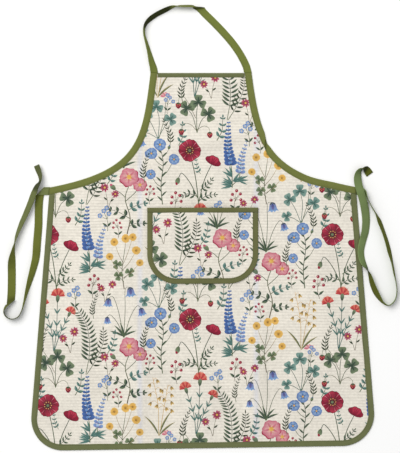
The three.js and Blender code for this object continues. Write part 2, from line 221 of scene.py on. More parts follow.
# %% [markdown]
# ## Making a piece
# Each piece is a mesh from arrays of points and faces, which gives full control of its edges.
# It rides on the apron's one body, hides the solid that it stands for, and takes the finish that
# it is given. Sheets and tapes also carry extra values on their points, such as the place along
# a tape, so that a weave follows the tape round a bend.

# %% Piece helper
def make_piece(name, points, faces, finish, nodes=()):
    """A smooth-shaded piece from points in millimetres, standing for the named solids."""
    mesh = bpy.data.meshes.new(name)
    mesh.from_pydata((np.asarray(points) * MM).tolist(), [], faces)
    mesh.shade_smooth()
    mesh.materials.append(finish)
    piece = bpy.data.objects.new(name, mesh)
    scene.collection.objects.link(piece)
    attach(piece, "root")
    if nodes:
        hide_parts(*nodes)
    return piece


def store(piece, name, kind, domain, values):
    """Keeps one value for each point or face corner of a piece, under a name."""
    layer = piece.data.attributes.new(name, kind, domain)
    socket = {"FLOAT": "value", "FLOAT_VECTOR": "vector", "FLOAT_COLOR": "color"}[kind]
    layer.data.foreach_set(socket, np.asarray(values, np.float32).ravel())


def unit(vectors):
    return vectors / np.linalg.norm(vectors, axis=-1, keepdims=True)


def left_of(axis):
    return np.array([-axis[1], axis[0]])


def swept_skin(rings, pairs):
    """Closed skin over rings of points. Pairs joins the two sides of a folded section at its ends."""
    count, size, _ = rings.shape
    side = np.arange(size)
    after = (side + 1) % size
    start = np.arange(count - 1)[:, None] * size
    quads = np.stack([start + side, start + after, start + size + after, start + size + side], axis=-1)
    last = (count - 1) * size
    faces = quads.reshape(-1, 4).tolist()
    for a, b, c, d in pairs:
        faces.append([d, c, b, a])
        faces.append([last + a, last + b, last + c, last + d])
    return rings.reshape(-1, 3), faces


def folded_section(outer, inner):
    """A folded strip's section: down its outer side and back along its inner side."""
    size = len(outer)
    section = np.vstack([outer, inner[::-1]])
    pairs = [(k, k + 1, 2 * size - 2 - k, 2 * size - 1 - k) for k in range(size - 1)]
    return section, pairs


print("helpers for pieces are ready")

# %% [markdown]
# ## The routes of the free tapes
# The neck loop and the two ties are flat woven tape about 15 mm wide. They lie loosely, lean on
# one edge, curl and turn over. A cord is a round tube along a line, but a flat tape also needs
# to know which way its face looks. So a row says where the middle of the tape passes, how high
# its lower edge is, and its tilt: 0 with the front up, 90 on edge, 180 with the back up. Where
# a tape is creased or cut, the row gives the direction of that line.

# %% Routes of the tapes
TAPE = 1.6
NECK_WIDTH = 15
TIE_WIDTH = 16

# Columns: two of place, the lower edge's height, the tilt, and the direction of a crease or a cut.
NECK_ROUTE = [
    (-98.9, 314.4, 1.1, 0, 180), (-101, 326, 0.5, 24), (-104, 336, 0.3, 38), (-106.5, 346, 0.3, 49),
    (-109, 356, 0.3, 60), (-112, 367, 0.3, 66), (-115.5, 379, 0.3, 72), (-119, 393, 0.3, 79),
    (-119, 405, 0.3, 80), (-115, 415, 0.3, 70), (-106.5, 424, 0.3, 58), (-92.5, 433.5, 0.3, 59),
    (-74.5, 442.5, 0.3, 60), (-61.5, 448.2, 0.3, 76), (-50.5, 449.8, 0.3, 104),
    (-36.5, 449.7, 0.3, 112), (-19.5, 449.3, 0.3, 112), (-8, 446.8, 0.9, 0, 3),
    (5.9, 433.4, 0.3, 0), (20.2, 419.5, 0.3, 0), (39.5, 399.5, 0.3, 0), (57.9, 378.5, 0.3, 0),
    (72.1, 359, 0.3, 0), (82.6, 341, 0.3, 0), (89, 327, 0.5, 0), (92.1, 314.4, 1.1, 0, 0),
]
LEFT_TIE_ROUTE = [
    (-313.4, 73.4, 1.1, 0, 265.4), (-330, 73, 3, 0, 228), (-330, 73, 0.8, 180, 228),
    (-333, 57, 0.3, 180), (-334.5, 34, 0.3, 180), (-335, 4, 0.3, 180), (-337.5, -29, 0.3, 174),
    (-340, -62, 0.3, 155), (-345.5, -86, 0.3, 142), (-352.5, -111, 0.3, 125),
    (-358.5, -133, 0.3, 107), (-363.5, -153, 0.3, 93), (-368.5, -170, 0.3, 85),
    (-375.5, -182.5, 0.3, 86), (-387.5, -187.5, 0.3, 93), (-398.5, -184, 0.3, 95),
    (-404.5, -175, 0.3, 97), (-403.6, -166.2, 0.3, 98), (-391.4, -153.2, 2, 180, 33),
    (-391.4, -153.2, 0.3, 180, 33), (-389.9, -131.6, 0.3, 178), (-389.3, -98, 0.3, 182),
    (-389, -74, 0.3, 200), (-386, -50, 0.3, 250), (-380.5, -23, 0.3, 290), (-370.5, 4, 0.3, 309),
    (-360.5, 26, 1.2, 317), (-351, 48, 3.2, 322), (-343.5, 68, 4.8, 322), (-337, 83, 4.8, 308),
    (-331, 92.5, 2.4, 285), (-331, 104, 0.3, 306), (-335, 116, 0.3, 318), (-338.5, 125.5, 0.3, 320),
]
RIGHT_TIE_ROUTE = [
    (313.4, 73.4, 1.1, 0, 94.6), (318.5, 73, 0.3, 16), (325, 73.8, 0.3, 44), (330.5, 71, 0.3, 74),
    (333.5, 64, 0.3, 92), (337.5, 54, 0.3, 97), (344, 41, 0.3, 97), (352.5, 26.5, 0.3, 100),
    (359.5, 11.5, 0.3, 126), (367.5, -9, 0.3, 120), (374.5, -30, 0.3, 122), (380, -51, 0.3, 124),
    (385, -71, 0.3, 108), (389, -92, 0.3, 106), (393, -112, 0.3, 97), (395, -132, 0.3, 97),
    (390.5, -150, 0.3, 96), (378.5, -159.5, 0.3, 93), (367, -154, 0.3, 98), (359, -143.5, 0.3, 118),
    (352, -131.5, 0.3, 130), (344.5, -113, 0.3, 122), (339.5, -96, 0.3, 104), (334, -84.5, 0.3, 72),
    (326, -71, 0.3, 38), (322, -51, 0.6, 32), (325.5, -30, 0.6, 26), (331, -9, 0.3, 14),
    (333, 12, 0.3, 6), (331, 33, 1.6, -6), (326.5, 53, 5, -18), (320.5, 73, 6.4, -20),
    (316, 92, 5.2, -4), (316, 107, 2.4, 26), (320, 116, 0.4, 58), (325.5, 119.5, 0.3, 90),
    (329.8, 119, 1, 132), (334.8, 115.6, 0.3, 168), (340.8, 107.2, 0.3, 180),
]
print(f"{len(NECK_ROUTE)}, {len(LEFT_TIE_ROUTE)} and {len(RIGHT_TIE_ROUTE)} rows of tape")

# %% [markdown]
# ## The ties and the neck loop
# A tie is one strip of cotton folded in half and stitched shut, so one long edge is a round
# fold and the other shows a fine slit between its two layers. Extruding a curve with a flat
# profile would be quicker, but it twists where it likes. Here the rows turn each ring of
# points, so the tape leans, curls and creases exactly where they say.
#
# The tape looks almost black where it leans away from the light or turns over. Soft light
# over a white table fills such places again, so the shade of those stretches is painted into
# the tape's colour here, and a few stretches that lie in shadow are painted paler.

# %% A line through a route
TAPE_STEP = 2.5


def smooth_line(points, step):
    """A curve through points that turns evenly where they crowd: places, headings, row numbers."""
    padded = np.vstack([2 * points[0] - points[1], points, 2 * points[-1] - points[-2]])
    places = []
    headings = []
    rows = []
    for i in range(len(points) - 1):
        before, start, end, beyond = padded[i:i + 4]
        near = math.sqrt(np.linalg.norm(start - before))
        span = math.sqrt(np.linalg.norm(end - start))
        far = math.sqrt(np.linalg.norm(beyond - end))
        leave = span * ((start - before) / near - (end - before) / (near + span) + (end - start) / span)
        arrive = span * ((end - start) / span - (beyond - start) / (span + far) + (beyond - end) / far)
        count = max(2, round(span ** 2 / step))
        for t in np.linspace(0, 1, count + 1)[min(i, 1):]:
            bend = (2 * t - 3) * t * t
            places.append(start + bend * (start - end) + t * (t - 1) * ((t - 1) * leave + t * arrive))
            slope = 6 * t * (t - 1) * (start - end)
            headings.append(slope + (3 * t - 1) * (t - 1) * leave + t * (3 * t - 2) * arrive)
            rows.append(i + t)
    return np.array(places), unit(np.array(headings)), np.array(rows)


def length_along(places):
    steps = np.linalg.norm(np.diff(places, axis=0), axis=1)
    return np.concatenate([[0], np.cumsum(steps)])


print(f"tapes are drawn with a ring about every {TAPE_STEP} mm")

# %% The frame of a flat tape
SMOOTH_PASSES = 4


def tape_frame(route, width):
    """Middle, heading and direction across at each ring of a flat tape."""
    x, y, lift, tilts = np.array([row[:4] for row in route], float).T
    tilts = np.radians(tilts)
    rise = TAPE / 2 * np.abs(np.cos(tilts)) + width / 2 * np.abs(np.sin(tilts))
    middles = np.column_stack([x, y, lift + rise])
    index = np.arange(len(route))
    ahead = middles[np.minimum(index + 1, index[-1])] - middles[np.maximum(index - 1, 0)]
    left = np.arctan2(ahead[:, 1], ahead[:, 0]) + np.pi / 2
    across = np.column_stack([np.cos(tilts) * np.cos(left), np.cos(tilts) * np.sin(left), np.sin(tilts)])
    for i, row in enumerate(route):
        for cut in np.radians(row[4:]):
            across[i] = math.cos(cut), math.sin(cut), 0
    places, headings, numbers = smooth_line(middles, TAPE_STEP)
    wide = np.column_stack([np.interp(numbers, index, across[:, axis]) for axis in range(3)])
    for _ in range(SMOOTH_PASSES):
        wide[1:-1] = (wide[:-2] + 2 * wide[1:-1] + wide[2:]) / 4
    return places, headings, unit(wide)


# Section of a folded tape: distance from its open edge or its fold, and share of its height.
OPEN_EDGE = [(0, 0.12), (0.05, 0.6), (0.4, 0.92), (1.1, 1.0), (1.7, 0.97), (2.2, 0.76), (2.7, 0.97)]
FOLDED_EDGE = [(2.2, 0.99), (1.2, 0.93), (0.5, 0.72), (0.12, 0.38)]
STITCH_INSET = 2.2
SLIT = 0.05


def tape_section(width):
    """Two layers of a folded tape, from its open edge round its fold, as pairs across and up."""
    half = width / 2
    front = [(from_edge - half, share) for from_edge, share in OPEN_EDGE]
    front += [(-half / 3, 1.0), (half / 3, 1.0)]
    front += [(half - from_fold, share) for from_fold, share in FOLDED_EDGE]
    front = np.array(front) * (1, TAPE / 2)
    outer = np.vstack([front, [(half, 0)], front[::-1] * (1, -1)])
    inner = np.column_stack([np.minimum(outer[:, 0], half - TAPE / 2), SLIT * np.sign(outer[:, 1])])
    return folded_section(outer, inner)


GROOVE_POINT = 5
# The stitch grooves get painted shade, and the points round the fold are made paler.
GROOVE_SHADE = 0.5
PALE_FOLD_POINTS = 2
PALE_FOLD_TONE = 1.16


def painted_section_tone(size):
    """Tone round a folded section: painted shade in its two stitch grooves, and paler at its fold."""
    outer = size // 2
    fold = outer // 2
    tone = np.ones(size)
    tone[[GROOVE_POINT, outer - 1 - GROOVE_POINT]] = GROOVE_SHADE
    tone[fold - PALE_FOLD_POINTS:fold + PALE_FOLD_POINTS + 1] = PALE_FOLD_TONE
    return tone


print("a folded tape has", len(tape_section(TIE_WIDTH)[0]), "points round its section")

# %% Tape finish
TWILL_PITCH = 1.2 * MM
TWILL_TONES = (0.88, 1.08)
FLECK_TONES = (0.78, 1.22)
DYE_TONES = (0.86, 1.14)

# Metres from one band to the next in a wave texture of scale 1: slanting bands and level bands.
SLANTING_WAVE = 2 * math.pi / 10
LEVEL_WAVE = 2 * math.pi / 20


def tape_finish(name, front, back):
    """Twill tape: diagonal ribs, flecks of thread, uneven dye, a tone for each face, and the light and shade
    painted into the mesh.
    """
    finish, tree, shader = new_finish(
        name, Roughness=0.84, Specular_IOR_Level=0.1, Sheen_Weight=0.1, Sheen_Roughness=0.5,
        Sheen_Tint=opaque(front))
    place = carried(tree, "tape_place", "Vector")
    twill = add_node(
        tree, "ShaderNodeTexWave", {"Vector": place, "Scale": SLANTING_WAVE / TWILL_PITCH, "Distortion": 0.8},
        bands_direction="DIAGONAL").outputs["Fac"]
    fleck = noise(tree, place, scale=1300.0, detail=2.0)
    dye = noise(tree, place, scale=45.0, detail=3.0)
    tone = blend(tree, carried(tree, "back_side", "Fac"), opaque(front), opaque(back))
    shade = product(
        tree, spread(tree, twill, *TWILL_TONES), spread(tree, fleck, *FLECK_TONES),
        spread(tree, dye, *DYE_TONES), carried(tree, "painted_light_and_shade", "Fac"))
    weave = maths(tree, "ADD", twill, fleck)
    dress(tree, shader, scaled_tone(tree, tone, shade), weave, strength=0.45, depth=0.25 * MM)
    return finish


print(f"twill ribs every {TWILL_PITCH / MM:.1f} mm")

# %% Make the free tapes
TUCK = 1.5
TONE_FADE = 9.0


def store_tape(piece, along, section, tone):
    """Keeps on each point of a tape its place, which face it is on, and the light and shade painted into it.
    """
    place = np.zeros((len(along), len(section), 3))
    place[:, :, 0] = along[:, None]
    place[:, :, 1] = section[:, 0]
    store(piece, "tape_place", "FLOAT_VECTOR", "POINT", place * MM)
    store(piece, "back_side", "FLOAT", "POINT", np.tile(section[:, 1] < 0, len(along)))
    store(piece, "painted_light_and_shade", "FLOAT", "POINT", tone * painted_section_tone(len(section)))


def free_tape(name, node, route, width, finish, sewn_ends, stretches):
    """A tape along its route, its sewn ends tucked a little way into the fold that holds them."""
    places, headings, wide = tape_frame(route, width)
    for end in sewn_ends:
        places[end] += headings[end] * (TUCK if end else -TUCK)
    up = np.cross(headings, wide)
    square = np.linalg.norm(up, axis=1)[:, None, None]
    up = unit(up)
    section, pairs = tape_section(width)
    rings = places[:, None] + wide[:, None] * section[:, :1] / square + up[:, None] * section[:, 1:]
    points, faces = swept_skin(rings, pairs)
    piece = make_piece(name, points, faces, finish, [node])
    along = length_along(places)
    tone = np.ones(len(places))
    # Stretches with a tone below 1 are painted shade, and those above 1 are painted light.
    for start, end, stretch_tone in stretches:
        share = np.clip(np.minimum(along - start, end - along) / TONE_FADE, 0, 1)
        tone *= 1 + share * (stretch_tone - 1)
    store_tape(piece, along, section, tone[:, None])
    print(f"{name}: {along[-1]:.0f} mm of {width} mm tape, {len(faces)} faces")
    return piece, places, wide, up


# Tape, its piece and its solid, route, width, tones of its front and back, and sewn ends. Last come
# the stretches of painted shade (tone below 1) and painted light (tone above 1): where each starts and ends,
# and its tone.
TAPES = [
    ("neck", "neck_strap", "neck_loop", NECK_ROUTE, NECK_WIDTH, "6f783a", "666c34", (0, -1),
     [(89, 171, 0.17), (212, 232, 0.25)]),
    ("left_tie", "left_tie", "tie_left", LEFT_TIE_ROUTE, TIE_WIDTH, "656c42", "686e30", (0,),
     [(-6, 24, 1.35), (150, 262, 1.14), (262, 330, 0.62), (328, 362, 0.6), (410, 442, 0.86),
      (580, 614, 0.35), (596, 660, 0.72)]),
    ("right_tie", "right_tie", "tie_right", RIGHT_TIE_ROUTE, TIE_WIDTH, "6d7e50", "565b1f", (0,),
     [(344, 368, 0.3), (370, 428, 1.17), (572, 592, 0.18)]),
]
tapes = {}
for tape, name, node, route, width, front, back, sewn_ends, stretches in TAPES:
    finish = tape_finish(tape + "_tape", front, back)
    tapes[tape] = free_tape(name, node, route, width, finish, sewn_ends, stretches)

# %% [markdown]
# ## The shape of the laid cloth
# The cloth is a flat pattern that has been laid down: the bib leans a little to one side, the
# hem runs a little askew, and soft folds and swells stand a few millimetres high. Everything
# that lies on the cloth needs the same surface, so it is one function of the place on the
# pattern. A cloth simulation would drift away from the solids, and a formula can't.

# %% Outline of the pattern
BIB_HALF = 103.0
BIB_TOP = 314.0
BIB_LEAN = -3.4
UNDERARM = np.array([312.0, 81.0])
ARMHOLE_HANDLES = np.array([(121.0, 171.0), (135.0, 115.0)])
HEM_HALF = 355.0
HEM_Y = -451.0
HEM_CORNER = 65.0
HEM_SKEW = 5.5

side_direction = unit(np.array([HEM_HALF, HEM_Y]) - UNDERARM)
side_outward = left_of(side_direction)
corner_sweep = math.pi / 2 + math.atan2(side_outward[1], side_outward[0])
corner_reach = HEM_CORNER * math.tan(corner_sweep / 2)
corner_centre = np.array([HEM_HALF - corner_reach, HEM_Y + HEM_CORNER])
corner_start = corner_centre + HEM_CORNER * side_outward


def armhole_curve(t):
    """Points of the right armhole from the bib to the underarm, and the way into the cloth."""
    t = np.asarray(t)[:, None]
    stays = np.vstack([[(BIB_HALF, BIB_TOP)], ARMHOLE_HANDLES, [UNDERARM]])
    upper, middle, lower = np.diff(stays, axis=0)
    weights = np.hstack([(1 - t) ** 3, 3 * t * (1 - t) ** 2, 3 * t ** 2 * (1 - t), t ** 3])
    heading = unit((1 - t) ** 2 * upper + 2 * t * (1 - t) * middle + t ** 2 * lower)
    return weights @ stays, np.column_stack([heading[:, 1], -heading[:, 0]])


def straight(start, end, inward, step):
    """Stations along a straight edge: points and the way into the cloth."""
    start = np.asarray(start, float)
    end = np.asarray(end, float)
    count = max(1, math.ceil(np.linalg.norm(end - start) / step))
    shares = np.linspace(0, 1, count + 1)[:, None]
    return start + shares * (end - start), np.tile(np.asarray(inward, float), (count + 1, 1))


def rounded(centre, radius, start_angle, end_angle, step):
    """Stations round a corner."""
    count = max(2, math.ceil(radius * abs(end_angle - start_angle) / step))
    angles = np.linspace(start_angle, end_angle, count + 1)
    outward = np.column_stack([np.cos(angles), np.sin(angles)])
    return centre + radius * outward, -outward


def joined(*runs):
    """Runs of stations end to end, without the point that two neighbours share."""
    edges = [runs[0][0]] + [edge[1:] for edge, _ in runs[1:]]
    inwards = [runs[0][1]] + [inward[1:] for _, inward in runs[1:]]
    return np.vstack(edges), np.vstack(inwards)


def mirrored(run):
    edge, inward = run
    return edge[::-1] * (-1, 1), inward[::-1] * (-1, 1)


def hem_half(start, step):
    """The right side from a start point down, the corner, and the hem to its middle."""
    return joined(
        straight(start, corner_start, -side_outward, step),
        rounded(corner_centre, HEM_CORNER, corner_sweep - math.pi / 2, -math.pi / 2, step),
        straight((corner_centre[0], HEM_Y), (0, HEM_Y), (0, 1), step))


print(f"hem corners are arcs of {HEM_CORNER:.0f} mm round {np.round(corner_centre, 1)}")

# %% Height of the laid cloth
CLOTH = 1.2
GAP = 0.3
FLAP = 1.0
SLOT_HALF = CLOTH / 2 + GAP
CHANNEL_HALF = SLOT_HALF + FLAP
RIM_LEVEL = CHANNEL_HALF
FLOOR_LEVEL = 0.8
FLAT_RIM = 18.0
RIM_EASE = 26.0
POCKET_HALF = 113.0
POCKET_TOP = 39.5
POCKET_BOTTOM = -115.5
POCKET_CORNER = 60.0
POCKET_PUFF = 8.5
POCKET_LEVEL = FLOOR_LEVEL + CLOTH / 2 + GAP + CHANNEL_HALF
POCKET_CLEAR = 26.0
BINDING = {"hem": 12.0, "bib": 9.0, "armhole": 14.0, "pocket": 11.0, "mouth": 10.0}
CLOTH_INSET = 2.0

# Soft folds: where each ridge starts and ends, its half-width and its height.
FOLDS = [
    ((-138, 70), (-132, -440), 34, 4.5),
    ((112, -122), (106, -440), 32, 4.5),
    ((-110, 150), (120, 196), 30, 3.2),
    ((-236, 30), (-268, -390), 58, 3.4),
    ((214, 70), (262, -330), 56, 3.6),
    ((-12, -130), (4, -430), 46, 2.8),
    ((-250, 92), (-100, 60), 28, 2.4),
    ((120, 130), (250, 60), 30, 2.4),
    ((196, -250), (186, -440), 34, 2.6),
]
FOLD_TAPER = 0.22

# Fine ripples of ribbed cotton that has been folded and put away: waves per metre and height.
RIPPLES = [((21, 7), 0.16), ((-9, 26), 0.14), ((33, -17), 0.09), ((12, 41), 0.08)]


def ease(low, high, value):
    share = np.clip((value - low) / (high - low), 0, 1)
    return share * share * (3 - 2 * share)


OUTLINE_STEP = 4.0
OUTLINE_STATIONS = 61
outline_half = joined(
    straight((0, BIB_TOP), (BIB_HALF, BIB_TOP), (0, -1), BIB_HALF),
    armhole_curve(np.linspace(0, 1, OUTLINE_STATIONS)), hem_half(UNDERARM, OUTLINE_STEP))[0]


def depth_inside(u, v):
    """How far points of the pattern lie inside its outline."""
    points = np.column_stack([np.abs(u), v])
    nearest = np.full(len(points), np.inf)
    for start, end in zip(outline_half[:-1], outline_half[1:]):
        along = end - start
        share = np.clip((points - start) @ along / (along @ along), 0, 1)
        gap = np.linalg.norm(points - start - share[:, None] * along, axis=1)
        nearest = np.minimum(nearest, gap)
    return nearest


def fold_rise(u, v):
    """Height that the soft folds and the fine ripples add."""
    rise = np.zeros_like(u)
    for start, end, half_width, height in FOLDS:
        along = np.subtract(end, start)
        length = math.hypot(*along)
        along = along / length
        place = ((u - start[0]) * along[0] + (v - start[1]) * along[1]) / length
        aside = np.abs((v - start[1]) * along[0] - (u - start[0]) * along[1]) / half_width
        ends = ease(0, FOLD_TAPER, place) * (1 - ease(1 - FOLD_TAPER, 1, place))
        rise += height * ends * np.cos(np.minimum(aside, 1) * np.pi / 2) ** 2
    for (across, up), height in RIPPLES:
        rise += height * (1 + np.sin(2 * np.pi * MM * (across * u + up * v)))
    return rise


def body_height(u, v):
    """Height of the middle of the apron's cloth."""
    inside = ease(FLAT_RIM, FLAT_RIM + RIM_EASE, depth_inside(u, v))
    middle = (POCKET_TOP + POCKET_BOTTOM) / 2
    beside = np.maximum(np.abs(u) - POCKET_HALF, 0)
    above = np.maximum(np.abs(v - middle) - (POCKET_TOP - middle), 0)
    free = ease(POCKET_CLEAR, 2 * POCKET_CLEAR, np.hypot(beside, above))
    return RIM_LEVEL + (FLOOR_LEVEL - RIM_LEVEL) * inside + fold_rise(u, v) * inside * free


def pocket_height(u, v):
    """Height of the middle of the pocket's cloth, puffed at its mouth."""
    across = np.minimum(np.abs(u) / (POCKET_HALF - BINDING["pocket"] - CLOTH_INSET), 1)
    reach = POCKET_TOP - POCKET_BOTTOM - BINDING["pocket"] - CLOTH_INSET
    drop = np.clip((POCKET_TOP - v) / reach, 0, 1)
    return POCKET_LEVEL + POCKET_PUFF * (1 - across ** 2) ** 2 * np.cos(drop * np.pi / 2) ** 2


def lay(u, v, z):
    """From the flat pattern to the apron as it lies."""
    lean = BIB_LEAN * ease(UNDERARM[1], BIB_TOP, v)
    lower = ((BIB_TOP - v) / (BIB_TOP - HEM_Y)) ** 2
    return np.stack([u + lean, v + HEM_SKEW * u / HEM_HALF * lower, z], axis=-1)


probe = np.array([[-135.0, -250.0], [0.0, 200.0]])
print("cloth stands", np.round(body_height(*probe.T), 1), "mm high on a fold and on the bib")

# %% [markdown]
# ## Folded bindings
# Each raw edge is held in a strip of tape that is folded over it and stitched through all the
# layers. The lip of the tape hugs the cloth, the stitch line pulls a shallow groove, and the
# outer edge is a soft round fold. Extruding a box would lose all three, so a folded section
# with those features is carried along the edge, station by station. Halfway down the right
# armhole the tape was caught in a small slanting pleat. Its outer edge is nipped in there, and
# below it the whole binding is pulled in by a few millimetres, almost to the underarm.

# %% Binding section and sweep
EDGE_STEP = 4.0
JOIN_GAP = 0.4
CUT_REACH = 16.0
LIP_CLEAR = 0.04
LIP_WANDER = 0.35
WANDER_WAVES = (60, 240)
WANDER_COUNT = 5
FLAT_SHARES = (0.55, 0.35)
ARMHOLE_STATIONS = 180


def binding_section(width):
    """Section of a binding, as pairs of depth in from the edge and rise from the cloth's middle."""
    base = CLOTH / 2 + LIP_CLEAR
    front = [(width - from_lip, base + share * (CHANNEL_HALF - base)) for from_lip, share in OPEN_EDGE]
    front += [(width * share, CHANNEL_HALF) for share in FLAT_SHARES]
    front += [(from_fold, share * CHANNEL_HALF) for from_fold, share in FOLDED_EDGE]
    front = np.array(front)
    outer = np.vstack([front, [(0, 0)], front[::-1] * (1, -1)])
    inner = np.column_stack([np.maximum(outer[:, 0], FLAP), np.clip(outer[:, 1], -base, base)])
    return folded_section(outer, inner)


# The pleat: its place on the edge, its nip and rise, the shade painted into its crease, and its crease, which
# slants across the tape.
PLEAT_PLACE = np.array([138.0, 172.4])
PLEAT_NIP = 1.5
NIP_REACH = 6.0
PLEAT_RISE = 0.9
PLEAT_SHADE = 0.3
CREASE_REACH = 3.0
CREASE_SLANT = 14.0

# The pull below the pleat, and the stretches past the pleat in which the edge and the lip take it up.
PULL = 3.8
EDGE_TAKES_UP = (-24.0, -4.0)
LIP_TAKES_UP = (0.0, 20.0)
PULL_FADES = (100.0, 165.0)


def past_pleat(edge):
    """How far each station lies past the pleat, and beyond all reach on an edge without it."""
    gaps = np.linalg.norm(edge - PLEAT_PLACE, axis=1)
    along = length_along(edge)
    return along - along[gaps.argmin()] if gaps.min() < EDGE_STEP else along + np.inf


def drawn_in(edge):
    """How far the pleat draws in the outer edge and the lip of a binding, at each station."""
    past = past_pleat(edge)
    pull = PULL * (1 - ease(*PULL_FADES, past))
    nipped = PLEAT_NIP * np.exp(-(past / NIP_REACH) ** 2)
    return pull * ease(*EDGE_TAKES_UP, past) + nipped, pull * ease(*LIP_TAKES_UP, past)


def crease(edge, share):
    """Strength of the crease at each station, at shares of the width in from the outer edge."""
    aside = past_pleat(edge)[:, None] - CREASE_SLANT * (share - 0.5)
    return np.exp(-(aside / CREASE_REACH) ** 2)


def wander(along, seed):
    """A hand-guided line's slow drift to either side, between -1 and 1."""
    draw = np.random.default_rng(seed)
    waves = draw.uniform(*WANDER_WAVES, WANDER_COUNT)
    starts = draw.uniform(0, 2 * np.pi, WANDER_COUNT)
    return np.mean(np.sin(2 * np.pi * along[:, None] / waves + starts), axis=1)


def make_binding(name, node, run, width, height, finish, seed):
    """A folded binding along a run of stations, with a lip that was guided by hand."""
    edge, inward = run
    along = length_along(edge)
    section, pairs = binding_section(width)
    share = section[:, 0] / width
    edge_in, lip_in = drawn_in(edge)
    drift = np.outer(LIP_WANDER * wander(along, seed), share ** 2)
    depth = section[:, 0] + drift + np.outer(edge_in, 1 - share) + np.outer(lip_in, share)
    flat = edge[:, None] + inward[:, None] * depth[:, :, None]
    u, v = flat.reshape(-1, 2).T
    creased = crease(edge, share)
    lifted = PLEAT_RISE * creased * np.clip(section[:, 1] / CHANNEL_HALF, 0, 1)
    z = height(u, v) + (section[:, 1] + lifted).ravel()
    rings = lay(u, v, z).reshape(len(edge), len(section), 3)
    points, faces = swept_skin(rings, pairs)
    piece = make_piece(name, points, faces, finish, [node])
    # The pleat's crease is painted darker: painted shade in the fold.
    store_tape(piece, along, section, 1 - creased * (1 - PLEAT_SHADE))
    print(f"{name}: {along[-1]:.0f} mm of {width:.0f} mm binding, {len(faces)} faces")
    return piece


print("a binding has", len(binding_section(BINDING["hem"])[0]), "points round its section")

# %% Edges that carry a binding
def turned_end(run, cut):
    """A run whose first stations turn towards the line that its end is cut along."""
    edge, inward = run
    share = np.clip(1 - length_along(edge) / CUT_REACH, 0, 1)[:, None]
    return edge, inward * (1 - share) + np.asarray(cut) * share


def backwards(run):
    return run[0][::-1], run[1][::-1]


def armhole_run():
    """The right armhole, cut level with the bib's top and along the apron's side."""
    run = armhole_curve(np.linspace(0, 1, ARMHOLE_STATIONS))
    run = turned_end(run, (-1, 0))
    side_cut = side_direction / (side_direction @ run[1][-1])
    return backwards(turned_end(backwards(run), side_cut))


def hem_run():
    """Down one side, along the hem and up the other, below the two armhole bindings."""
    inward = armhole_curve([1.0])[1][0]
    slope = side_direction @ inward
    start = UNDERARM + side_direction * (BINDING["armhole"] + JOIN_GAP) / slope
    along_armhole = -left_of(inward)
    cut = along_armhole / -(along_armhole @ side_outward)
    right = turned_end(hem_half(start, EDGE_STEP), cut)
    return joined(right, mirrored(right))


def bib_run():
    end = BIB_HALF - BINDING["armhole"] - JOIN_GAP
    return straight((-end, BIB_TOP), (end, BIB_TOP), (0, -1), EDGE_STEP)


def pocket_half(start_y, step):
    """The right side of the pocket, its round corner and half of its lower edge."""
    centre = np.array([POCKET_HALF - POCKET_CORNER, POCKET_BOTTOM + POCKET_CORNER])
    return joined(
        straight((POCKET_HALF, start_y), (POCKET_HALF, centre[1]), (-1, 0), step),
        rounded(centre, POCKET_CORNER, 0, -math.pi / 2, step),
        straight((centre[0], POCKET_BOTTOM), (0, POCKET_BOTTOM), (0, 1), step))


def pocket_rim_run():
    right = pocket_half(POCKET_TOP - BINDING["mouth"] - JOIN_GAP, EDGE_STEP)
    return joined(right, mirrored(right))


def pocket_mouth_run():
    return straight((-POCKET_HALF, POCKET_TOP), (POCKET_HALF, POCKET_TOP), (0, -1), EDGE_STEP)


print(f"the hem's edge is {length_along(hem_run()[0])[-1]:.0f} mm long")

# %% Make the bindings
hem_finish = tape_finish("hem_tape", "6a6f4b", "656a46")
bib_finish = tape_finish("bib_tape", "696e4a", "636843")
armhole_finish = tape_finish("armhole_tape", "70763f", "686e38")
pocket_finish = tape_finish("pocket_tape", "676944", "60623f")
right_armhole = armhole_run()

# Name, solid, run, width, height, slot of the record and finish of each binding.
BINDINGS = [
    ("hem_edging", "hem_binding", hem_run(), "hem", body_height, "binding", hem_finish),
    ("bib_edging", "bib_binding", bib_run(), "bib", body_height, "binding", bib_finish),
    ("right_armhole_edging", "armhole_binding_right", right_armhole, "armhole", body_height,
     "armhole_tape", armhole_finish),
    ("left_armhole_edging", "armhole_binding_left", mirrored(right_armhole), "armhole", body_height,
     "armhole_tape", armhole_finish),
    ("pocket_edging", "pocket_rim_binding", pocket_rim_run(), "pocket", pocket_height,
     "binding", pocket_finish),
    ("pocket_mouth_edging", "pocket_mouth_binding", pocket_mouth_run(), "mouth", pocket_height,
     "binding", pocket_finish),
]
edgings = {}
for seed, (name, node, run, kind, height, slot, finish) in enumerate(BINDINGS):
    edgings[name] = make_binding(name, node, run, BINDING[kind], height, finish, seed)

# %% [markdown]
# ## The printed meadow
# The cotton carries a print of wild flowers in crimson, coral, blue, ochre and grey green on
# cream. A picture would bring its own pixels, and a shader can't draw a poppy. So this meadow
# is drawn the way a print is separated: as flat patches of ink, one over the other, each with
# a wash from one tone to another. Later every patch is cut into the cloth's own mesh, which
# keeps its edge sharp at any distance.

# %% Inks and brush strokes
INKS = {name: ink(code) for name, code in {
    "wine": "64142a", "crimson": "931f38", "poppy": "b3364c", "blush": "c97f8a", "rose": "b65670",
    "shell": "e0b9b2", "coral": "c44f46", "salmon": "d27f6b", "navy": "33497d", "blue": "4a6aa3",
    "sky": "779bc6", "mist": "a6bcd4", "violet": "6f6797", "ochre": "c8953f", "honey": "dcb567",
    "straw": "b39e6c", "moss": "566446", "sage": "788869", "pine": "33443a", "teal": "456862",
    "frost": "809d93", "bark": "594e3b", "ink": "30382f"}.items()}
brush = np.random.default_rng(11)
UNSTEADY_TURN = 0.07
UNSTEADY_REACH = 0.05
NOTCH_HALF = 0.4
LEAF_POINT = 0.85
LEAF_STALK = 0.3

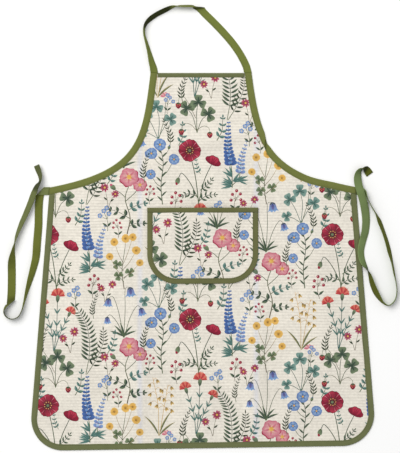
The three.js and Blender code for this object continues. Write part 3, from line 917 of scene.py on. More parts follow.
# Patches of ink in the order they are laid: an outline, two tones, and where the wash starts and ends.
inked = []


def pointing(angle):
    return np.array([math.cos(angle), math.sin(angle)])


def heading(way):
    return math.atan2(way[1], way[0])


def evenly(count, start, offset=0.0):
    """Angles spaced evenly all the way round."""
    return start + 2 * np.pi * (np.arange(count) + offset) / count


def between(line, share):
    """The point at a share of the way along a drawn line."""
    places = np.linspace(0, 1, len(line))
    return np.array([np.interp(share, places, line[:, axis]) for axis in (0, 1)])


def pen_line(points, count):
    """A smooth line through a few points."""
    points = np.asarray(points, float)
    padded = np.vstack([2 * points[0] - points[1], points, 2 * points[-1] - points[-2]])
    line = []
    for place in np.linspace(0, len(points) - 1, count):
        i = min(int(place), len(points) - 2)
        t = place - i
        a, b, c, d = padded[i:i + 4]
        curve = (2 * a - 5 * b + 4 * c - d) + (3 * b - a - 3 * c + d) * t
        line.append(b + 0.5 * t * (c - a + t * curve))
    return np.array(line)


def fill(outline, near, far, start, end):
    outline, start, end = (np.asarray(part, float) for part in (outline, start, end))
    inked.append((outline, INKS[near], INKS[far], start, end))


def stem(points, thick, thin, near="moss", far="pine", count=8):
    line = pen_line(points, count)
    ahead = unit(np.gradient(line, axis=0))
    side = left_of(ahead.T).T * np.linspace(thick, thin, count)[:, None] / 2
    fill(np.vstack([line + side, (line - side)[::-1]]), near, far, line[0], line[-1])
    return line


def leaf(base, angle, length, width, bend, light="sage", dark="pine", count=6):
    t = np.linspace(0, 1, count)
    headings = angle + bend * (t - LEAF_STALK)
    ways = np.column_stack([np.cos(headings), np.sin(headings)])
    steps = ways * length / (count - 1)
    middle = base + np.vstack([[0, 0], np.cumsum(steps[:-1], axis=0)])
    half = width / 2 * np.sin(np.pi * t ** LEAF_POINT) ** LEAF_POINT
    side = left_of(ways.T).T * half[:, None]
    for edge, far in ((middle + side, light), (middle - side, dark)):
        fill(np.vstack([middle, edge[-2:0:-1]]), dark, far, middle[0], middle[-1])


def leaf_pair(base, angle, apart, length, width, bend, light="sage", dark="pine", count=5):
    for sign in (1, -1):
        leaf(base, angle + sign * apart, length, width, sign * bend, light, dark, count)


def petal(base, angle, length, width, near, far, notch=0.0, full=0.35, count=12):
    turn = np.linspace(0, 2 * np.pi, count, endpoint=False)
    along = (1 - np.cos(turn)) / 2
    dent = notch * np.exp(-((turn - np.pi) / NOTCH_HALF) ** 2)
    across = np.sin(turn) * (1 - full + 2 * full * along) / 2
    axis = pointing(angle)
    outline = base + np.outer((along - dent) * length, axis) + np.outer(across * width, left_of(axis))
    fill(outline, near, far, base, base + axis * length)


def spot(centre, radius, near, far=None, count=7):
    turn = np.linspace(0, 2 * np.pi, count, endpoint=False)
    centre = np.asarray(centre, float)
    outline = centre + radius * np.column_stack([np.cos(turn), np.sin(turn)])
    fill(outline, near, far or near, centre - radius, centre + radius)


def whorl(centre, count, radius, width, near, far, start, notch, full):
    for angle in evenly(count, start):
        turn = angle + brush.normal(0, UNSTEADY_TURN)
        reach = radius * (1 + brush.normal(0, UNSTEADY_REACH))
        petal(centre, turn, reach, width, near, far, notch, full)


print(len(INKS), "inks are mixed")

# %% Open flowers
def poppy_head(centre, radius, start):
    turns = (start, start + np.pi, start + np.pi / 2, start - np.pi / 2)
    for k, angle in enumerate(turns):
        far = "crimson" if k < 2 else "poppy"
        petal(centre, angle, radius * 1.04, radius * 1.38, "ink", "wine", 0.1, 0.3, 16)
        petal(centre, angle, radius, radius * 1.3, "wine", far, 0.1, 0.3, 16)
        for lean, reach in ((-0.42, 0.8), (-0.16, 0.9), (0.16, 0.86), (0.42, 0.78)):
            way = pointing(angle + lean)
            stem([centre + way * radius * 0.3, centre + way * radius * reach], 1.3, 0.4, "ink", "wine", 3)
        for lean in (-0.29, 0.29):
            way = pointing(angle + lean)
            vein = [centre + way * radius * 0.45, centre + way * radius * 0.92]
            stem(vein, 0.6, 1.3, "crimson", "blush", 3)
    spot(centre, radius * 0.27, "ink", "wine", 10)
    for angle in evenly(9, 0):
        spot(centre + pointing(angle) * radius * 0.31, radius * 0.05, "honey", count=5)
    spot(centre, radius * 0.13, "sage", "moss", 8)


def poppy_side(centre, radius, angle):
    for lean, near, far in ((0.62, "wine", "crimson"), (-0.62, "wine", "crimson"), (0.0, "crimson", "poppy")):
        petal(centre, angle + lean, radius * 1.2, radius * 1.2, "ink", "wine", 0.1, 0.45)
        petal(centre, angle + lean, radius * 1.15, radius * 1.1, near, far, 0.1, 0.45)
    for lean in (-0.3, 0.0, 0.3):
        way = pointing(angle + lean)
        stem([centre + way * radius * 0.4, centre + way * radius], 1.2, 0.4, "wine", "wine", 3)
    petal(centre, angle, radius * 0.5, radius * 0.5, "wine", "crimson", 0.0, 0.4)


def flax_head(centre, radius, start):
    whorl(centre, 5, radius, radius * 1.02, "mist", "blue", start, 0.05, 0.42)
    for angle in evenly(5, start):
        petal(centre, angle, radius * 0.72, radius * 0.3, "navy", "sky", 0.0, 0.2, 8)
    spot(centre, radius * 0.17, "honey", "ochre")


def buttercup_head(centre, radius, start):
    whorl(centre, 5, radius, radius, "ochre", "honey", start, 0.06, 0.4)
    spot(centre, radius * 0.28, "bark", "ochre")


def rose_head(centre, radius, start):
    whorl(centre, 5, radius * 1.05, radius * 1.1, "rose", "crimson", start, 0.14, 0.5)
    for angle in evenly(5, start):
        petal(centre, angle, radius, radius * 1.02, "shell", "rose", 0.14, 0.5)
    for angle in evenly(5, start, 0.5):
        petal(centre, angle, radius * 0.8, radius * 0.2, "rose", "blush", 0.0, 0.1, 8)
    spot(centre, radius * 0.24, "honey", "ochre", 9)
    for k, angle in enumerate(evenly(11, 0)):
        reach = radius * (0.3 + 0.07 * (k % 2))
        spot(centre + pointing(angle) * reach, radius * 0.05, "ochre", count=5)


print("poppies, flax, buttercups and roses can be drawn")

# %% Buds, bells, fans, spikes and berries
def bud(centre, angle, size, tone):
    petal(centre, angle, size * 1.25, size * 0.55, tone, tone, full=0.1, count=10)
    petal(centre, angle + 0.22, size, size * 0.5, "pine", "sage", full=0.1, count=10)
    petal(centre, angle - 0.25, size * 0.9, size * 0.45, "moss", "sage", full=0.1, count=10)


def pink_head(centre, radius, angle):
    """A fringed fan of petals over a slim cup."""
    for k in range(7):
        axis = pointing(angle + (k - 3) * 0.36)
        side = left_of(axis)
        reach = radius * (1 - 0.06 * abs(k - 3))
        fan = [centre]
        for j in range(7):
            share = j / 6 - 0.5
            tooth = (1.0 if j % 2 else 0.86) * (1 - 0.25 * share ** 2)
            fan.append(centre + axis * reach * tooth + side * share * radius * 0.52)
        near, far = ("coral", "salmon") if k % 2 else ("crimson", "coral")
        fill(fan, near, far, centre, centre + axis * reach)
    cup = centre - pointing(angle) * radius * 0.62
    petal(cup, angle, radius * 0.8, radius * 0.42, "pine", "sage", 0.0, 0.3)


# Half of a bell, as shares of its size: down from its stalk, and out to its side.
BELL = [
    (0.0, 0.12), (0.12, 0.3), (0.45, 0.38), (0.75, 0.44),
    (1.0, 0.62), (0.9, 0.36), (1.08, 0.14), (0.92, 0.0),
]


def bell(centre, size, angle):
    axis = pointing(angle)
    side = left_of(axis)
    left = [centre + size * (down * axis + out * side) for down, out in BELL]
    right = [centre + size * (down * axis - out * side) for down, out in BELL[:-1]]
    fill(left + right[::-1], "violet", "sky", centre, centre + axis * size)
    petal(centre + axis * size * 0.1, angle, size * 0.7, size * 0.3, "navy", "violet", 0.0, 0.2, 9)
    for sign in (-1, 1):
        sepal = angle + sign * 0.75
        petal(centre - axis * size * 0.02, sepal, size * 0.4, size * 0.13, "pine", "moss", 0.0, 0.0, 7)


def berry(centre, size):
    down = -np.pi / 2
    petal(centre, down, size, size * 0.86, "poppy", "wine", 0.0, -0.25)
    for low, aside in ((0.25, 0.0), (0.42, 0.2), (0.42, -0.2), (0.62, 0.06)):
        spot(centre + size * np.array([aside, -low]), size * 0.05, "honey", count=5)
    for lean in (-0.9, -0.35, 0.35, 0.9):
        petal(centre, down + lean, size * 0.42, size * 0.16, "pine", "moss", 0.0, 0.0, 6)


def spike(base, angle, length, tiers, wide, tones):
    """Tiers of small petals up a stalk, each tier smaller than the one below it."""
    bend = base + pointing(angle + 0.1) * length * 0.5
    line = stem([base, bend, base + pointing(angle) * length], 1.4, 0.6)
    deep, middle, pale = tones
    for k in range(tiers):
        share = 0.14 + 0.86 * k / (tiers - 1)
        place = between(line, share)
        size = wide * (1 - 0.72 * share)
        for sign in (1, -1):
            petal(place, angle + sign * 1.05, size, size * 0.6, deep, middle, 0.0, 0.35, 9)
        petal(place, angle + 0.25 * (-1) ** k, size * 0.66, size * 0.5, middle, pale, 0.0, 0.3, 8)
        spot(place + pointing(angle) * size * 0.12, size * 0.1, "ink", count=5)


def trefoil(centre, size, angle, light="frost", dark="teal"):
    for lean in (-1.95, 0.0, 1.95):
        petal(centre, angle + lean, size, size * 0.95, dark, light, 0.1, 0.5)
        petal(centre, angle + lean, size * 0.72, size * 0.14, "pine", dark, 0.0, 0.0, 6)


FIRST_PAIR = 0.2
PAIRS_SPAN = 0.75
LOOK_ROUND = 0.04
LEAFLET_TAPER = 0.55


def feathered(points, pairs, length, width, light="sage", dark="pine", spread_angle=0.95, count=6):
    """A stalk with pairs of leaflets that shrink towards its tip."""
    line = stem(points, 1.4, 0.7, "moss", "pine", 12)
    for k in range(pairs):
        share = FIRST_PAIR + PAIRS_SPAN * k / (pairs - 1)
        angle = heading(between(line, share + LOOK_ROUND) - between(line, share - LOOK_ROUND))
        size = length * (1 - LEAFLET_TAPER * share) * (0.75 + 0.25 * min(1, 4 * share))
        wide = width * size / length
        leaf_pair(between(line, share), angle, spread_angle, size, wide, -0.5, light, dark, count)
    angle = heading(line[-1] - line[-2])
    leaf(line[-1], angle, length * 0.5, width * 0.5, 0.1, light, dark, count)


def on_stalks(head, rows, *pen, **nib):
    """Stalks with a head at each tip. A row has a stalk's points and what its head needs."""
    for points, *needs in rows:
        head(stem(points, *pen, **nib)[-1], *needs)


print("buds, bells, fans, spikes, berries and leaves can be drawn")

# %% Tall plants
def poppies():
    front = stem([(0, 0), (-6, 50), (-16, 96)], 1.9, 1.2)
    side = stem([(0, 4), (10, 44), (24, 74)], 1.8, 1.2)
    nodding = stem([(-2, 12), (-16, 40), (-31, 58), (-37, 50)], 1.6, 1.1, count=12)
    low = [(0, 6), (14, 16), (30, 18)]
    for points in (low, [(-1, 14), (-18, 20), (-30, 16)], [(2, 26), (14, 34), (24, 46)]):
        feathered(points, 4, 13, 4.6)
    poppy_head(front[-1] + [0, 4], 20, 0.6)
    poppy_side(side[-1], 15, 1.1)
    bud(nodding[-1], -1.9, 12, "crimson")


def flax():
    trunk = stem([(0, 0), (3, 40), (-2, 84), (4, 118)], 1.9, 1.0, count=12)
    for k in range(11):
        sign = (-1) ** k
        leaf(between(trunk, 0.06 + 0.08 * k), np.pi / 2 - sign * 0.75, 15, 3.6, -0.3 * sign)
    stem([trunk[9], (-9, 104), (-13, 112)], 1.0, 0.7, count=5)
    bud((-13, 112), 1.9, 8, "blue")
    heads = [(0.45, (-24, 92), 11.5), (0.62, (22, 104), 12.5), (1.0, (4, 122), 13), (0.3, (24, 62), 10.5)]
    for root, tip, radius in heads:
        place = between(trunk, root)
        stem([place, (place + tip) / 2 - (0, 5), tip], 1.2, 0.8, count=6)
        flax_head(tip, radius, brush.uniform(0, 1))


def larkspur():
    stem([(0, 0), (0, 30)], 1.9, 1.4, count=3)
    stem([(0, 4), (14, 18)], 1.5, 1.2, count=3)
    for base, angle in (((0, 6), 2.5), ((1, 12), 0.5), ((0, 20), 2.2), ((10, 16), -0.1), ((0, 2), 2.9)):
        for lean in (-0.4, 0.0, 0.4):
            leaf(base, angle + lean, 22, 4.2, 0.2, "frost", "teal", 5)
    spike((0, 30), 1.62, 92, 12, 15, ("navy", "blue", "sky"))
    spike((14, 18), 1.36, 70, 9, 12, ("violet", "sky", "mist"))


def wild_rose():
    cane = stem([(0, 0), (6, 34), (-4, 72), (6, 104)], 2.2, 1.3, "bark", "moss", 14)
    feathered([cane[4], (-16, 44), (-34, 50)], 3, 17, 9)
    feathered([cane[6], (18, 58), (36, 62)], 3, 16, 8.5, "frost", "teal")
    feathered([cane[2], (18, 22), (34, 22)], 3, 15, 8)
    stem([cane[9], (-14, 84), (-24, 90)], 1.4, 1.0, count=5)
    bud((-24, 90), 2.3, 13, "rose")
    stem([cane[8], (16, 84), (24, 96)], 1.4, 1.0, count=5)
    rose_head((26, 100), 14, 0.9)
    rose_head((4, 116), 20, 0.2)


def pinks():
    stalks = (([(0, 0), (-4, 40), (-18, 84)], 17, 1.85), ([(1, 0), (6, 44), (8, 100)], 19, 1.5))
    for points, radius, angle in (*stalks, ([(2, 2), (14, 36), (30, 70)], 15, 1.1)):
        line = stem(points, 1.6, 1.1, "teal", "pine", 10)
        for k in (3, 5, 7):
            leaf_pair(line[k], heading(line[k + 1] - line[k]), 0.5, 21 - k, 3.2, 0.4, "frost", "teal")
        pink_head(line[-1] + pointing(angle) * radius * 0.5, radius, angle)


def fern():
    feathered([(0, 0), (8, 50), (2, 100), (-16, 132)], 14, 26, 6.2, "sage", "pine", 1.05, 5)
    feathered([(2, 0), (22, 32), (36, 66), (36, 90)], 10, 19, 5, "moss", "ink", 1.05, 5)


print("poppies, flax, larkspur, roses, pinks and ferns are planted")

# %% Low plants and fillers
FLORETS = 20
GOLDEN_SHARE = 0.618


def buttercups():
    main = stem([(0, 0), (-3, 36), (4, 78)], 1.7, 1.0, "bark", "moss", 10)
    leaves = [
        ([(0, 14), (-10, 26)], 10, 2.5, "sage", "moss"),
        ([(0, 20), (12, 32)], 10, 0.7, "sage", "moss"),
        ([(0, 36), (-12, 48)], 10, 2.2, "sage", "moss")]
    on_stalks(trefoil, leaves, 1.0, 0.8, count=3)
    tips = [(0.35, (-26, 64)), (0.5, (26, 74)), (0.7, (-16, 92))]
    tips += [(1.0, (6, 98)), (0.62, (20, 100)), (0.3, (32, 50))]
    for root, tip in tips:
        place = between(main, root)
        stem([place, (place + tip) / 2 - (0, 4), tip], 1.0, 0.7, "bark", "straw", 6)
        buttercup_head(tip, brush.uniform(7.5, 9.5), brush.uniform(0, 1))


def harebells():
    for angle in (2.7, 2.2, 0.9, 0.45, 1.75):
        leaf((0, 2), angle, 30, 4.4, 0.5 if angle > 1.6 else -0.5, count=7)
    stalks = (([(0, 0), (-8, 46), (-20, 82), (-30, 80)], 17), ([(1, 0), (4, 56), (4, 98), (14, 102)], 19))
    more = (([(2, 0), (14, 40), (28, 64), (36, 60)], 16), ([(0, 4), (-12, 30), (-26, 46), (-33, 42)], 14))
    for points, size in (*stalks, *more):
        line = stem(points, 1.3, 0.7, count=12)
        bell(line[-1], size, -np.pi / 2 + brush.normal(0, 0.15))


def strawberries():
    leaves = [
        ([(0, 0), (-10, 26), (-24, 38)], 17, 2.3, "sage", "pine"),
        ([(0, 0), (8, 34), (20, 50)], 17, 0.9, "sage", "pine"),
        ([(0, 0), (0, 40), (-4, 62)], 17, 1.6, "sage", "pine")]
    runners = [
        ([(0, 4), (14, 18), (28, 18), (32, 8)], 13),
        ([(0, 6), (-14, 14), (-24, 10), (-26, 2)], 13),
        ([(2, 30), (22, 70), (34, 72), (37, 62)], 13)]
    on_stalks(trefoil, leaves, 1.4, 1.0, count=6)
    on_stalks(berry, runners, 1.0, 0.7, "bark", "moss", 9)


def oats():
    for angle, length in ((2.2, 52), (1.2, 60), (0.8, 44)):
        leaf((1, 0), angle, length, 4.0, 0.5 if angle > 1.6 else -0.5, "straw", "moss", 8)
    for points in ([(0, 0), (-4, 60), (-18, 118)], [(2, 0), (8, 56), (14, 104)]):
        line = stem(points, 1.3, 0.7, "straw", "ochre", 16)
        for k in range(7):
            sign = (-1) ** k
            place = between(line, 0.46 + 0.08 * k)
            tip = place + (sign * (15 - 1.4 * k), 3)
            stem([place, (place + tip) / 2 + (0, 4), tip], 0.8, 0.6, "straw", "ochre", 5)
            for lean in (0.15, 0.75):
                petal(tip, -np.pi / 2 + sign * lean, 9.0, 3.6, "bark", "honey", 0.0, 0.0, 8)


def clover():
    leaves = [([(0, 0), (-12, 30), (-24, 50)], 15, 2.1), ([(0, 0), (4, 40), (-2, 68)], 16, 1.6)]
    leaves += [([(0, 0), (16, 28), (28, 42)], 15, 0.9), ([(0, 0), (-16, 10), (-30, 14)], 12, 2.8)]
    on_stalks(trefoil, leaves, 1.3, 1.0, "teal", "pine", 6)
    stalk = stem([(2, 0), (16, 50), (18, 88)], 1.3, 0.9, count=7)
    for k in range(FLORETS):
        way = pointing(np.pi * (0.06 + 0.88 * ((k * GOLDEN_SHARE) % 1)))
        reach = 5.5 * (1 - 0.62 * k / FLORETS)
        tip = ("blush", "shell")[k % 2]
        petal(stalk[-1] + way * reach, heading(way), 8, 3.2, "rose", tip, count=8)


def small_blues():
    line = stem([(0, 0), (2, 18), (-3, 36)], 1.0, 0.7, count=6)
    leaf_pair((0.5, 8), np.pi / 2, 0.8, 12, 4, 0.3)
    for tip in ((-3, 38), (6, 32), (-11, 30), (3, 43)):
        stem([line[3], tip], 0.7, 0.6, count=3)
        for angle in evenly(5, 0):
            petal(tip, angle + brush.uniform(-0.1, 0.1), 4.8, 4.4, "mist", "blue", full=0.4, count=7)
        spot(tip, 1.1, "honey", count=5)


def red_sprig():
    line = stem([(0, 0), (-3, 20), (4, 38)], 1.1, 0.7, "bark", "moss", 8)
    leaf_pair((-1, 8), np.pi / 2, 0.9, 14, 5, 0.3)
    for k, tip in enumerate(((8, 40), (0, 46), (-8, 38), (10, 28), (-10, 26))):
        stem([line[4 + k // 2], tip], 0.7, 0.6, "bark", "bark", 3)
        spot(tip, 3.4, "poppy", "wine", 8)
        spot(np.array(tip) + (-0.9, 0.9), 0.9, "shell", count=5)


def leaf_sprig():
    feathered([(0, 0), (6, 18), (4, 40)], 4, 13, 6, "frost", "teal", count=5)


def daisies():
    for points, radius in (([(0, 0), (-4, 16), (-12, 30)], 8.5), ([(1, 0), (5, 20), (12, 42)], 9.5)):
        line = stem(points, 1.0, 0.7, "bark", "moss", 6)
        leaf(line[2], 2.4 if points[-1][0] < 0 else 0.6, 10, 3.6, 0.3, "moss", "ink", 5)
        whorl(line[-1], 9, radius, radius * 0.42, "wine", "rose", 0.2, 0.0, 0.3)
        spot(line[-1], radius * 0.26, "honey", "ochre")


def willow_twig():
    feathered([(0, 0), (-5, 26), (3, 56)], 7, 14, 3.8, "moss", "ink", 0.7, 5)


print("buttercups, harebells, strawberries, oats, clover and sprigs are planted")

# %% Repeat of the print
TILE_WIDTH = 290.0
TILE_HEIGHT = 344.0

# Plant, its root on the tile, its lean in degrees, its scale and which way it faces.
MEADOW = [
    (poppies, 42, 0, 0, 1.1, 1), (strawberries, 40, 146, 0, 1.0, -1), (pinks, 36, 220, 0, 1.0, 1),
    (larkspur, 110, 34, 0, 1.08, 1), (fern, 102, 172, 0, 0.98, 1), (buttercups, 180, 0, -2, 1.05, 1),
    (wild_rose, 186, 112, 0, 1.0, 1), (harebells, 178, 246, 0, 1.0, 1), (oats, 250, 46, 3, 1.0, 1),
    (flax, 258, 172, 0, 1.0, -1), (clover, 250, 306, 0, 0.95, 1), (red_sprig, 116, 326, 4, 1.0, 1),
    (small_blues, 146, 118, -6, 1.1, 1), (leaf_sprig, 80, 130, 10, 1.2, 1), (red_sprig, 288, 150, -4, 1.0, 1),
    (leaf_sprig, 146, 214, 14, 1.1, 1), (small_blues, 78, 300, 4, 1.1, 1), (red_sprig, 232, 172, 2, 0.8, 1),
    (leaf_sprig, 292, 292, 6, 1.1, 1), (daisies, 70, 216, -4, 1.0, 1), (willow_twig, 12, 206, 6, 1.05, 1),
    (daisies, 148, 166, 5, 0.95, -1), (willow_twig, 274, 288, -8, 1.0, -1),
    (small_blues, 270, 12, 6, 0.9, -1), (willow_twig, 222, 216, 4, 1.0, 1),
    (leaf_sprig, 46, 62, -12, 0.75, -1), (daisies, 140, 318, 8, 0.9, 1),
    (willow_twig, 118, 284, 4, 0.85, 1), (red_sprig, 168, 104, -6, 0.8, -1),
]


def moved(patch, root, lean, scale, face):
    """A patch of ink with its plant turned, scaled and set down at its root."""
    along, aside = scale * pointing(math.radians(lean))
    turned = np.array([[along, -aside], [aside, along]])
    outline, near, far, start, end = patch
    outline, start, end = (part * (face, 1) @ turned + root for part in (outline, start, end))
    return outline, near, far, start, end


tile = []
for plant, x, y, lean, scale, face in MEADOW:
    inked.clear()
    plant()
    tile += [moved(patch, (x, y), lean, scale, face) for patch in inked]


def printed_patches(corner, low, high):
    """Patches of the half-drop repeat that reach into a box of the pattern, from a tile's corner."""
    first = math.floor((low[0] - corner[0]) / TILE_WIDTH) - 1
    last = math.ceil((high[0] - corner[0]) / TILE_WIDTH) + 1
    found = []
    for column in range(first, last):
        drop = TILE_HEIGHT / 2 * (column % 2)
        lowest = math.floor((low[1] - corner[1] - drop) / TILE_HEIGHT) - 1
        highest = math.ceil((high[1] - corner[1]) / TILE_HEIGHT) + 1
        for row in range(lowest, highest):
            shift = np.array([corner[0] + column * TILE_WIDTH, corner[1] + drop + row * TILE_HEIGHT])
            for outline, near, far, start, end in tile:
                outline = outline + shift
                if (outline.max(0) > low).all() and (outline.min(0) < high).all():
                    found.append((outline, near, far, start + shift, end + shift))
    return found


print(len(tile), "patches of ink in a repeat of", TILE_WIDTH, "by", TILE_HEIGHT, "mm")

# %% [markdown]
# ## Cutting the print into the cloth
# Paint on a mesh is only as sharp as its points are close, and a fine enough grid would be far
# too heavy. A constrained triangulation takes the outlines of all the ink patches as lines that
# the triangles must follow, and so spends points where the print has edges. Each triangle
# remembers which patches it lies in, and takes the wash of the one that was laid last. The
# back of the cloth is plain, so it needs only a coarse net, closed along the same rim.

# %% Mosaic of cloth and ink
GROUND = ink("dfd9cd")
BACK_GROUND = ink("d9d3c8")
WELD = 1e-4
WELD_REACH = 0.004
CELL = 100.0
INSIDE_CONSTRAINTS = 1
RIM_AND_CELL = {0, 1}
NET_ROW = 0.866
NOT_ZERO = 1e-12


def inside_polygon(points, polygon):
    """Which points lie inside a closed outline."""
    inside = np.zeros(len(points), bool)
    x, y = points.T
    for (ax, ay), (bx, by) in zip(polygon, np.roll(polygon, -1, axis=0)):
        spans = (ay > y) != (by > y)
        if spans.any():
            inside ^= spans & (x < (bx - ax) * (y - ay) / (by - ay + NOT_ZERO) + ax)
    return inside


def net_points(rim, spacing):
    """A staggered net of points inside a rim, clear of it by half a spacing."""
    low = rim.min(0)
    high = rim.max(0)
    rows = np.arange(low[1], high[1], spacing * NET_ROW)
    net = []
    for k, y in enumerate(rows):
        x = np.arange(low[0] + spacing / 2 * (k % 2), high[0], spacing)
        net.append(np.column_stack([x, np.full(len(x), y)]))
    net = np.vstack(net)
    net = net[inside_polygon(net, rim)]
    near = np.full(len(net), np.inf)
    for point in rim:
        near = np.minimum(near, np.hypot(*(net - point).T))
    return net[near > spacing / 2]


def signed_area(loop):
    """Area of an outline, below zero where it runs clockwise."""
    x, y = np.asarray(loop).T
    return (np.dot(x, np.roll(y, -1)) - np.dot(y, np.roll(x, -1))) / 2


def anticlockwise(loop):
    return loop if signed_area(loop) > 0 else loop[::-1]


def cell_triangles(rim, cell, outlines, net):
    """Triangles in one square cell that follow the rim and the outlines, with their last outline."""
    loops = [rim, cell] + outlines
    counts = np.cumsum([0] + [len(loop) for loop in loops])
    faces = [list(range(start, end)) for start, end in zip(counts[:-1], counts[1:])]
    points = np.vstack(loops + [net]).tolist()
    places, _, made, _, _, owners = delaunay_2d_cdt(points, [], faces, INSIDE_CONSTRAINTS, WELD, True)
    kept = [(tuple(face), max(own)) for face, own in zip(made, owners) if RIM_AND_CELL <= set(own)]
    triangles = np.array([face for face, _ in kept], int).reshape(-1, 3)
    return np.array([tuple(place) for place in places]), triangles, np.array([own for _, own in kept], int)


def cell_border(low, high, spacing):
    """A square outline with points about one spacing apart, which its neighbours share."""
    shares = np.linspace(0, 1, math.ceil(CELL / spacing), endpoint=False)[:, None]
    corners = np.array([low, (high[0], low[1]), high, (low[0], high[1])])
    return np.vstack([a + shares * (b - a) for a, b in zip(corners, np.roll(corners, -1, axis=0))])


def triangulated(rim, outlines, spacing):
    """Triangles inside a rim that follow the outlines, worked out cell by cell to save time."""
    rim = anticlockwise(rim)
    outlines = [anticlockwise(outline) for outline in outlines]
    net = net_points(rim, spacing)
    lows = np.array([outline.min(0) for outline in outlines]).reshape(-1, 2)
    highs = np.array([outline.max(0) for outline in outlines]).reshape(-1, 2)
    first, last = np.floor(rim.min(0) / CELL), np.ceil(rim.max(0) / CELL)
    places = []
    triangles = []
    owners = []
    count = 0
    for x, y in np.ndindex(*(last - first).astype(int)):
        low = (first + (x, y)) * CELL
        high = low + CELL
        near = np.flatnonzero(((lows < high) & (highs > low)).all(1))
        cell = cell_border(low, high, spacing)
        inside = ((net > low + WELD_REACH) & (net < high - WELD_REACH)).all(1)
        made, made_triangles, uppermost = cell_triangles(rim, cell, [outlines[k] for k in near], net[inside])
        places.append(made)
        triangles.append(made_triangles + count)
        owners.append(np.concatenate([[0, 0], near + 1])[uppermost])
        count += len(made)
    places, triangles = welded(np.vstack(places), np.vstack(triangles))
    a, b, c = triangles.T
    whole = (a != b) & (b != c) & (c != a)
    return places, triangles[whole], np.concatenate(owners)[whole]


def welded(places, triangles):
    """Joins the points that neighbouring cells share along their borders."""
    off_border = np.abs(places - CELL * np.round(places / CELL)).min(1)
    border = np.flatnonzero(off_border < WELD_REACH)
    shared = places[border]
    for offset in ((0, 0), (0.5, 0), (0, 0.5), (0.5, 0.5)):
        keys = np.floor(shared / WELD_REACH + offset)
        _, leader, group = np.unique(keys, axis=0, return_index=True, return_inverse=True)
        shared = shared[leader[group.ravel()]]
    places[border] = shared
    used = np.unique(triangles)
    kept, number = np.unique(places[used], axis=0, return_inverse=True)
    renumber = np.zeros(len(places), int)
    renumber[used] = number.ravel()
    return kept, renumber[triangles]


def rim_loop(triangles):
    """The edges that belong to one triangle only, end to end."""
    edges = np.vstack([triangles[:, (0, 1)], triangles[:, (1, 2)], triangles[:, (2, 0)]])
    forward = {tuple(edge) for edge in edges.tolist()}
    onward = {a: b for a, b in forward if (b, a) not in forward}
    loop = [next(iter(onward))]
    while len(loop) < len(onward):
        loop.append(onward[loop[-1]])
    return loop


print("print edges closer than", WELD, "mm are welded")

# %% Cloth panel
FRONT_NET = 8.0
BACK_NET = 16.0
SLOPE_STEP = 0.5
BAKE_SPLIT = 0.5
BAKE_MARGIN = 0.004


def cloth_panel(name, node, rim, corner, height, finish):
    """A printed front, a plain back and a thin wall between them, as one closed sheet."""
    patches = printed_patches(corner, rim.min(0), rim.max(0))
    front, front_faces, owners = triangulated(rim, [patch[0] for patch in patches], FRONT_NET)
    loop = rim_loop(front_faces)
    back, back_faces, _ = triangulated(front[loop], [], BACK_NET)
    size = len(front)
    places = np.vstack([front, back])
    u, v = places.T
    rise = height(u, v)
    side = np.where(np.arange(len(places)) < size, 1, -1)
    points = lay(u, v, rise + side * CLOTH / 2)
    after = np.roll(loop, -1)
    back_loop = np.array([np.argmin(np.hypot(*(back - place).T)) for place in front[loop]]) + size
    back_after = np.roll(back_loop, -1)
    walls = [np.column_stack([loop, back_loop, after]), np.column_stack([after, back_loop, back_after])]
    faces = np.vstack([front_faces, back_faces[:, ::-1] + size, *walls])
    piece = make_piece(name, points, faces.tolist(), finish, [node])
    print(f"{name}: {len(patches)} patches of ink, {len(faces)} triangles")
    paint(piece, faces, places, owners, patches, len(front_faces))
    smooth_normals(piece, u, v, side, height)
    bake_map(piece, points, faces, len(front_faces))
    return piece


def paint(piece, faces, places, owners, patches, front_count):
    """Stores the wash of the uppermost patch at each corner of the front, and plain cloth behind."""
    tones = np.tile(np.append(BACK_GROUND, 1.0), (len(faces), 3, 1))
    ground = np.zeros(2)
    washes = [(GROUND, GROUND, ground, ground + 1)] + [patch[1:] for patch in patches]
    near, far, start, end = (np.array(column) for column in zip(*washes))
    axis = end - start
    reach = (axis ** 2).sum(1)
    corners = places[faces[:front_count]]
    offset = corners - start[owners][:, None]
    share = np.clip((offset * axis[owners][:, None]).sum(2) / reach[owners][:, None], 0, 1)[:, :, None]
    tones[:front_count, :, :3] = near[owners][:, None] * (1 - share) + far[owners][:, None] * share
    store(piece, "print_ink", "FLOAT_COLOR", "CORNER", tones)


def smooth_normals(piece, u, v, side, height):
    """Normals from the surface itself, so that long thin triangles don't show in the light."""
    across = (height(u + SLOPE_STEP, v) - height(u - SLOPE_STEP, v)) / (2 * SLOPE_STEP)
    up = (height(u, v + SLOPE_STEP) - height(u, v - SLOPE_STEP)) / (2 * SLOPE_STEP)
    normals = unit(np.column_stack([-across, -up, np.ones(len(u))])) * side[:, None]
    piece.data.normals_split_custom_set_from_vertices(normals.tolist())


def bake_map(piece, points, faces, front_count):
    """A flat map for baking: the front on one half of the square, the back and rim on the other."""
    low = points[:, :2].min(0)
    size = points[:, :2].max(0) - low
    flat = BAKE_MARGIN + (points[:, :2] - low) / size * (1 - 2 * BAKE_MARGIN)
    places = flat[faces] * (BAKE_SPLIT, 1)
    places[front_count:, :, 0] += BAKE_SPLIT
    layer = piece.data.uv_layers.new(name="OFBake")
    layer.data.foreach_set("uv", places.astype(np.float32).ravel())


print(f"cloth nets of {FRONT_NET:.0f} mm in front and {BACK_NET:.0f} mm behind")

# %% [markdown]
# ## Finish of the printed cotton
# The cloth is a ribbed cotton. Fine cords of thread run across it, and about every six
# millimetres a thicker one shows as a faint grey line. The ink sinks in unevenly, so each wash
# is a little mottled, and flecks of bare thread show through. All of this depends on the place
# on the cloth, so it stays put from any side.

